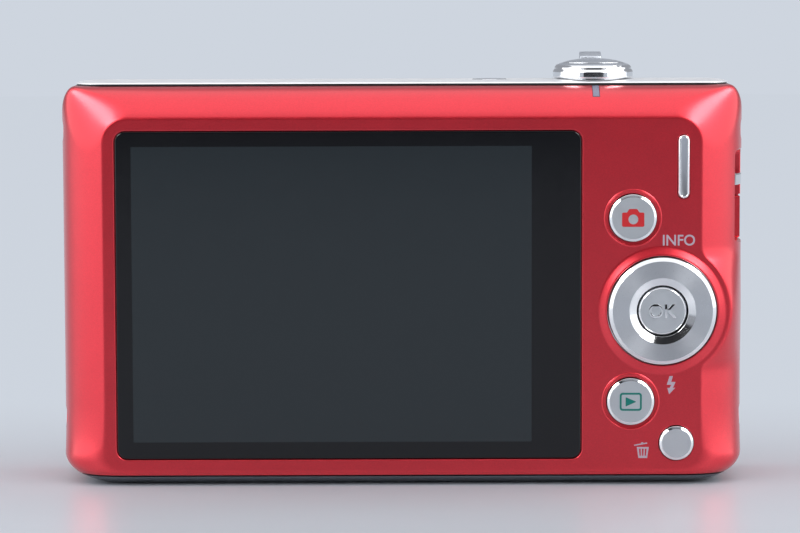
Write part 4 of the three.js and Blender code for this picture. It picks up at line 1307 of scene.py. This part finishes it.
def make_screw(node, axis, sign):
    """A pan-headed screw with a cross recess, outwards along sign times an axis."""
    low, high = span(node, axis)
    face = high if sign > 0 else low
    if axis == X:
        face -= sign * SCREW_SINK
    centre = list(centre_of(node, X, Y, Z))
    centre[axis] = face
    profile = [(0, 0, 0), (0.95, -0.02, 0.1), (1.25, -0.16, 0.1), (1.25, -0.7), (0.7, -0.7),
               (0.7, -3), (0, -3, 0)]
    shape = turned([(r, h * sign) for r, h in filleted(profile, 0.04, 4)], centre,
                   "x" if axis == X else "z", 48)
    piece = made(node + "_head", shape, [STEEL])
    place = on_x if axis == X else on_z
    flat = [c for i, c in enumerate(centre) if i != axis]
    mark = [(a + flat[0], b + flat[1]) for a, b in cross(0.62, 0.15)]
    carved(piece, lofted([place(grown(mark, grow), face + sign * out)
                          for grow, out in ((0.05, 0.2), (0.0, -0.1), (-0.04, -0.45))]), sharp=30)
    fitted(piece, "body", "steel", node)


# ---------------------------------------------------------------- base
DOOR_X = span("battery_door", X)
DOOR_BACK = span("battery_door", Y)[1]
HINGE = (-5.4, 0.85)  # (y, z) of the battery door's pin


def make_base_plate():
    # Its satin silver is drawn dark: painted shade of the underside.
    piece = made("base_skin", filled_body(), [BASE_PAINTED_SHADE])
    low_y, high_y = span("base_plate", Y)
    carved(piece, block((-60, 60), (low_y, 12), (-2, BASE_SEAM_Z - 0.22)), "INTERSECT")
    left, right, back = DOOR_X[0] - 0.2, DOOR_X[1] + 0.2, DOOR_BACK + 0.2
    opening = [(left, -9), (right, -9), (right, back, 0.8), (left, back, 0.8)]
    tool = stacked(filleted(opening, 0.0, 6, strips=False),
                   [(0.22, -0.1), (0.12, 0.0), (0, 0.12), (0, 3)], on_z)
    tool.add(turned([(0, -1), (4.95, -1), (4.95, 0.0), (4.78, 0.14), (4.78, 5), (0, 5)],
                    (*TRIPOD, 0), "z", 72))
    for name in BASE_SCREWS:
        tool.add(turned([(0, -1), (1.75, -1), (1.45, 0.12), (1.45, 1), (0.85, 1), (0.85, 4),
                         (0, 4)], (*centre_of(name, X, Y), 0), "z", 40))
    carved(piece, tool)
    fitted(piece, "body", "plate_silver", "base_plate")


def make_battery_door():
    """The door's leaf with a rolled knuckle, a slot for the latch and an arrow beside it."""
    plan = filleted([(DOOR_X[0], HINGE[0], 0), (DOOR_X[1], HINGE[0], 0),
                     (DOOR_X[1], DOOR_BACK, 0.8), (DOOR_X[0], DOOR_BACK, 0.8)],
                    0.0, 6, strips=False)
    slot = rounded_box((-29.2, -17.8), (1.4, 4.4), 0.4, 4)
    leaf = stacked(plan, [(-0.16, 0.02), (-0.10, 0.02), (-0.03, 0.05), (0, 0.12), (0, 1.2)], on_z,
                   [slot])
    floor = stacked(grown(slot, 0.3), [(0, 0.75), (0, 1.15)], on_z)
    knuckle = turned([(0.42, DOOR_X[0]), (0.70, DOOR_X[0]), (0.75, DOOR_X[0] + 0.05),
                      (0.75, DOOR_X[1] - 0.05), (0.70, DOOR_X[1]), (0.42, DOOR_X[1])],
                     (0, *HINGE), "x", 40)
    shape = leaf.add(floor).add(knuckle)
    arrow = [(-15.6, 2.3), (-14.2, 2.3), (-14.2, 1.8), (-12.9, 2.9), (-14.2, 4.0), (-14.2, 3.5),
             (-15.6, 3.5)]
    shape.add(stacked(arrow, [(-0.03, -0.01), (0, 0.03), (0, 0.2)], on_z))
    # The leaf shares the base plate's darkened silver: painted shade of the underside.
    built("battery_door_leaf", shape, [BASE_PAINTED_SHADE], "battery_lid", "plate_silver", "battery_door")


def make_latch():
    low_x, high_x = span("battery_latch", X)
    low_y, high_y = span("battery_latch", Y)
    low_z, high_z = span("battery_latch", Z)
    plan = plan_of("battery_latch", (X, Y), 0.3, 0, 5)
    shape = stacked(plan, [(-0.12, low_z + 0.08), (-0.06, low_z + 0.09), (0, low_z + 0.15),
                           (0, high_z)], on_z)
    for k in range(6):
        x = lerp(low_x + 1.6, high_x - 1.6, k / 5)
        rib = rounded_box((x - 0.16, x + 0.16), (low_y + 0.45, high_y - 0.45), 0.14, 4)
        shape.add(stacked(rib, [(-0.08, low_z), (-0.02, low_z + 0.02), (0, low_z + 0.06),
                                (0, low_z + 0.14)], on_z))
    built("latch_slider", shape, [BLACK], "latch", "black_plastic", "battery_latch")


def make_tripod_nut():
    """A threaded steel bush: its thread is a row of V grooves at 20 turns to the inch."""
    pitch, minor, major = 1.27, 2.6, 3.05
    profile = [(0, 5.6), (minor, 5.6)]
    z = 5.2
    while z > 1.2:
        profile += [(minor, z), (major, z - pitch * 0.45), (minor, z - pitch * 0.9)]
        z -= pitch
    profile += [(minor, 0.5), (minor + 0.4, 0.07), (4.45, 0.05), (4.6, 0.2), (4.6, 2.1),
                (5.8, 2.1), (5.8, 3.1), (4.6, 3.1), (4.6, 6.8), (0, 6.8)]
    shape = turned(profile, (*TRIPOD, 0), "z", 72)
    built("tripod_bush", shape, [STEEL], "body", "steel", "tripod_nut", sharp=25)


# ---------------------------------------------------------------- lens, flash and focus lamp
BLADE_PIVOT = 8.3  # distance of the blades' pins from the lens's axis


def make_lens_ring():
    front = span("lens_ring", Y)[0]
    profile = filleted([
        (14.0, FRONT_Y + 1), (15.2, FRONT_Y + 1), (15.2, FRONT_Y - 0.1),
        (19.0, FRONT_Y - 0.1, 0.05), (18.7, FRONT_Y - 0.8, 0.2), (17.3, front + 0.25, 0.3),
        (16.5, front, 0.2),
        (14.5, front + 0.08, 0.15), (14.0, front + 0.55, 0.1),
    ], 0.05, 6)

    def finish(radius, height):
        return 1 if 17.45 < radius < 18.68 and height < FRONT_Y - 0.5 else 0

    shape = turned(profile, LENS_AXIS, segments=192, finishes=finish)
    built("lens_surround", shape, [CHROME, BARREL], "body", "control_chrome", "lens_ring")


def make_barrels():
    low, high = span("barrel_outer", Y)
    profile = [(12.5, low + 0.35), (12.7, low + 0.1), (12.95, low), (13.3, low), (13.5, low + 0.07),
               (13.6, low + 0.25)]
    y = low + 0.9
    for _ in range(3):
        profile += [(13.6, y), (13.52, y + 0.07), (13.52, y + 0.18), (13.6, y + 0.25)]
        y += 0.75
    profile += [(13.6, high), (12.5, high)]
    shape = turned(profile, LENS_AXIS, segments=160)
    built("barrel_outer_skin", shape, [BARREL], "barrel_1", "barrel_silver", "barrel_outer",
          sharp=30)
    low, high = span("barrel_inner", Y)
    profile = filleted([
        (11.1, high), (12.2, high), (12.2, low + 0.3, 0.2), (11.8, low, 0.15), (9.3, low, 0.05),
        (9.1, low + 0.12, 0.05), (8.9, low, 0.05), (5.7, low, 0.1), (5.05, low + 0.6, 0.1),
        (5.05, low + 0.75), (11.1, low + 0.75),
    ], 0.05, 5)

    def finish(radius, height):
        return 1 if height < low + 0.5 and radius < 11.7 else 0

    shape = turned(profile, LENS_AXIS, segments=160, finishes=finish)
    for side in (-1, 1):
        shape.add(turned([(0, low + 0.6), (0.4, low + 0.6), (0.4, low + 1.3), (0, low + 1.3)],
                         (LENS[0] + side * BLADE_PIVOT, 0, LENS[1]), "y", 20))
    built("barrel_inner_skin", shape, [BARREL, DARK_METAL_AND_SEAM_SHADE], "barrel_2", "barrel_silver",
          "barrel_inner", sharp=30)


def make_blades():
    """Two cover blades, each half a disc on an ear round its pivot pin."""
    disc, ear = 5.5, 1.1
    points = [(disc, 0.04)]
    points += [(disc * math.cos(a), disc * math.sin(a))
               for a in (math.pi * 0.9 * k / 40 for k in range(1, 41))]
    points += [(-BLADE_PIVOT, ear)]
    points += [(-BLADE_PIVOT + ear * math.cos(a), ear * math.sin(a))
               for a in (math.pi * (0.5 + k / 12) for k in range(1, 13))]
    points += [(-7.6, -0.7), (-5.85, 0.04)]
    for name, turn in (("blade_upper", 1), ("blade_lower", -1)):
        low, high = span("lens_" + name, Y)
        plan, hole = ([(LENS[0] + turn * a, LENS[1] + turn * b) for a, b in outline_points]
                      for outline_points in (points, circle((-BLADE_PIVOT, 0), 0.5, 20)))
        shape = stacked(plan, [(-0.03, low), (0, low + 0.04), (0, high)], on_y, [hole])
        built(name + "_leaf", shape, [DARK_METAL_AND_SEAM_SHADE], name, "black_plastic", "lens_" + name)


def make_front_lens():
    low, high = span("front_lens", Y)
    radius, rise = 7.2, 1.2
    profile = [(radius * k / 16, low + rise * (k / 16) ** 2) for k in range(17)]
    profile += [(radius, high), (0, high)]
    built("front_glass", turned(profile, LENS_AXIS), [LENS_GLASS], "barrel_2", "lens_glass",
          "front_lens")
    low, high = span("front_lens_cell", Y)
    cell = turned(filleted([
        (7.35, low), (10.7, low), (10.9, low + 0.2), (10.9, high), (5.5, high), (5.5, high - 0.4),
        (7.35, high - 0.4),
    ], 0.05, 3), LENS_AXIS)
    for k in range(3):
        y = high - 0.5 - 0.75 * k
        cell.add(turned([(7.25, y), (7.38, y), (7.38, y - 0.3), (7.25, y - 0.3)],
                        LENS_AXIS, segments=72))
    built("front_cell", cell, [BLACK], "barrel_2", "black_plastic", "front_lens_cell")


def make_flash_window():
    """A clear window with upright prism ribs on its inner face."""
    low_x, high_x = span("flash_window", X)
    low_z, high_z = span("flash_window", Z)
    low_y, high_y = span("flash_window", Y)
    levels = [(grow, 2 * FRONT_Y - y) for grow, y in edge_levels(
        2 * FRONT_Y - high_y + 0.35, 2 * FRONT_Y - low_y, 0.12, 0)]
    shape = stacked(plan_of("flash_window", (X, Z), 1.1), levels, on_y)
    count = 30
    pitch = (high_x - low_x - 2.4) / count
    for k in range(count):
        x = low_x + 1.2 + pitch * k
        back = high_y - 0.37
        ridge = [(x, back), (x + pitch, back), (x + pitch / 2, back + 0.22)]
        shape.add(stacked(ridge, [(0, low_z + 0.8), (0, high_z - 0.8)], on_z))
    built("flash_pane", shape, [CLEAR], "body", "clear_plastic", "flash_window", sharp=20)


def make_focus_lamp():
    x, z = centre_of("focus_lamp", X, Z)
    high = span("focus_lamp", Y)[1]
    profile = [(0, high), (1.9, high), (1.9, FRONT_Y + 0.06), (1.82, FRONT_Y),
               (1.5, FRONT_Y - 0.12),
               (1.0, FRONT_Y - 0.22), (0.5, FRONT_Y - 0.28), (0, FRONT_Y - 0.3)]
    built("focus_lens", turned(profile, (x, 0, z), segments=48), [CLEAR], "body",
          "clear_plastic", "focus_lamp")


# ---------------------------------------------------------------- finishes of carried-over nodes
def dress_cad_nodes():
    finishes = {
        STEEL: ["battery_door_pin", "zoom_motor", "microphone", "terminal_connector", "chassis",
                "shutter_spring"],
        BLACK: ["lens_housing", "flash_capacitor", "speaker", "battery_box", "screen_cable",
                "control_carrier"],
        LENS_GLASS: ["rear_lens"],
        REFLECTOR: ["flash_reflector"],
        TUBE: ["flash_tube"],
        BOARD: ["image_sensor", "main_board", "switch_board", "top_switch_board"],
        GREY: ["battery", "memory_card", "screen_module"],
    }
    for material, names in finishes.items():
        for name in names:
            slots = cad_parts[name].data.materials
            slots.clear()
            slots.append(material)


# ---------------------------------------------------------------- stage, lights and camera
BACKDROP = (0.617, 0.665, 0.737)


def make_floor():
    """A pale, slightly glossy floor that fades into the backdrop's colour."""
    shape = Shape()
    rings = [shape.ring([(x, y, 0.0) for x, y in circle((0, 0), radius, 64)])
             for radius in (150, 400, 1000, 2500, 5000)]
    shape.skin(rings)
    shape.face(rings[0])
    n = Nodes("floor_paper")
    n.set(Roughness=0.32, IOR=1.38)
    soft = n.noise(0.02, 3.0)
    n.colour(n.mixed(soft, (0.60, 0.632, 0.68), (0.63, 0.662, 0.71)))
    x, y, _ = n.axes()
    away = n.ranged(y, -0.005, -0.080, 0.0, 1.0)
    radius = n.math("SQRT", n.math("ADD", n.math("MULTIPLY", x, x), n.math("MULTIPLY", y, y)))
    far = n.ranged(radius, 0.8, 1.5, 0.0, 1.0)
    fade = n.math("MAXIMUM", n.math("SMOOTH_MIN", away, 1.0, 0.2), far)
    glow = n.new("ShaderNodeEmission")
    glow.inputs["Color"].default_value = (*BACKDROP, 1)
    mix = n.new("ShaderNodeMixShader")
    n.link(fade, mix.inputs[0])
    n.link(n.shader.outputs[0], mix.inputs[1])
    n.link(glow.outputs[0], mix.inputs[2])
    n.link(mix.outputs[0], n.tree.nodes["Material Output"].inputs["Surface"])
    made("floor", shape, [n.material])


def make_flag():
    """A dark cloth behind the camera, which the panel and the chrome reflect."""
    shape = Shape()
    shape.face(shape.ring([(-520, 950, -1), (520, 950, -1), (520, 950, 900), (-520, 950, 900)]))
    n = Nodes("flag_cloth")
    n.set(Specular_IOR_Level=0.0)
    n.colour(n.mixed(n.noise(0.05), (0.02, 0.02, 0.022), (0.03, 0.03, 0.032)))
    flag = made("flag", shape, [n.material])
    for kind in ("camera", "shadow", "diffuse"):
        setattr(flag, "visible_" + kind, False)


def softbox(name, location, target, size, radiance, up=(0, 0, 1)):
    """A rectangular light that faces a target, of a radiance that its size doesn't change."""
    data = bpy.data.lights.new(name, "AREA")
    data.shape = "RECTANGLE"
    data.size, data.size_y = size
    data.energy = radiance * math.pi * size[0] * size[1]
    light = linked(name, data)
    light.location = location
    back = (Vector(location) - Vector(target)).normalized()
    across = Vector(up).cross(back).normalized()
    light.rotation_euler = Matrix((across, back.cross(across), back)).transposed().to_euler()
    light.visible_camera = False
    return light


def make_lights():
    """A wide light above, one at each side, and two bright strips for the corners' highlights."""
    aim = (0, 0, 0.03)
    softbox("overhead", (0, 0.12, 0.95), (0, 0.12, 0), (1.3, 1.26), 0.95, (0, 1, 0))
    for side in (-1, 1):
        softbox(f"side_{side}", (side * 0.80, 0.22, 0.40), aim, (1.35, 0.88), 1.4)
        strip = softbox(f"strip_{side}", (side * 0.64, 0.42, 0.67), aim, (0.32, 1.4), 6.0,
                        (0, 1, 0))
        strip.visible_diffuse = False
    world = bpy.data.worlds.new("studio")
    bpy.context.scene.world = world
    world.use_nodes = True
    tree = world.node_tree
    background = tree.nodes["Background"]
    background.inputs["Strength"].default_value = 1.0
    path = tree.nodes.new("ShaderNodeLightPath")
    mix = tree.nodes.new("ShaderNodeMix")
    mix.data_type = "RGBA"
    mix.inputs[6].default_value = (0.36, 0.375, 0.41, 1)
    mix.inputs[7].default_value = (*BACKDROP, 1)
    tree.links.new(path.outputs["Is Camera Ray"], mix.inputs[0])
    tree.links.new(mix.outputs[2], background.inputs["Color"])


def make_camera():
    """A long lens behind the camera and a little above it, looking slightly down."""
    data = bpy.data.cameras.new("camera")
    data.sensor_width = 36.0
    data.lens = 143.55
    data.clip_end = 20.0
    view = linked("view", data)
    view.location = Vector((0.336, 455.36, 71.49)) * MM
    pitch = math.radians(5.2)
    upright = Matrix((
        (-1.0, 0.0, 0.0),
        (0.0, -math.sin(pitch), math.cos(pitch)),
        (0.0, math.cos(pitch), math.sin(pitch)),
    )).transposed()
    roll = Matrix.Rotation(math.radians(-0.17), 3, "Z")
    view.rotation_euler = (upright @ roll).to_euler()
    bpy.context.scene.camera = view


# ---------------------------------------------------------------- assembly
make_back_cover()
make_front_cover()
make_window()
make_thumb_rest()
make_status_lamp()
for button in BUTTONS:
    make_button(button)
make_control_ring()
make_set_button()
make_symbols()
make_text("info_label", "INFO", (4.5, 1.54), (-38.7, 34.6), PANEL_Y, INK, 0,
          LABEL, "body", "cover_red")
make_text("ok_label", "OK", (3.9, 2.0), PAD, PANEL_Y + SET_RISE, 0.15, 0.03,
          CHROME, "set", "control_chrome")
make_top_plate()
make_zoom_lever()
make_shutter_button()
make_power_button()
make_strap_bar()
make_terminal_door()
for screw in SCREWS:
    make_screw(screw, X, side_of(screw))
for screw in BASE_SCREWS:
    make_screw(screw, Z, -1)
make_base_plate()
make_battery_door()
make_latch()
make_tripod_nut()
make_lens_ring()
make_barrels()
make_blades()
make_front_lens()
make_flash_window()
make_focus_lamp()
dress_cad_nodes()

make_floor()
make_flag()
make_lights()
make_camera()
bpy.context.scene.view_settings.view_transform = "Standard"
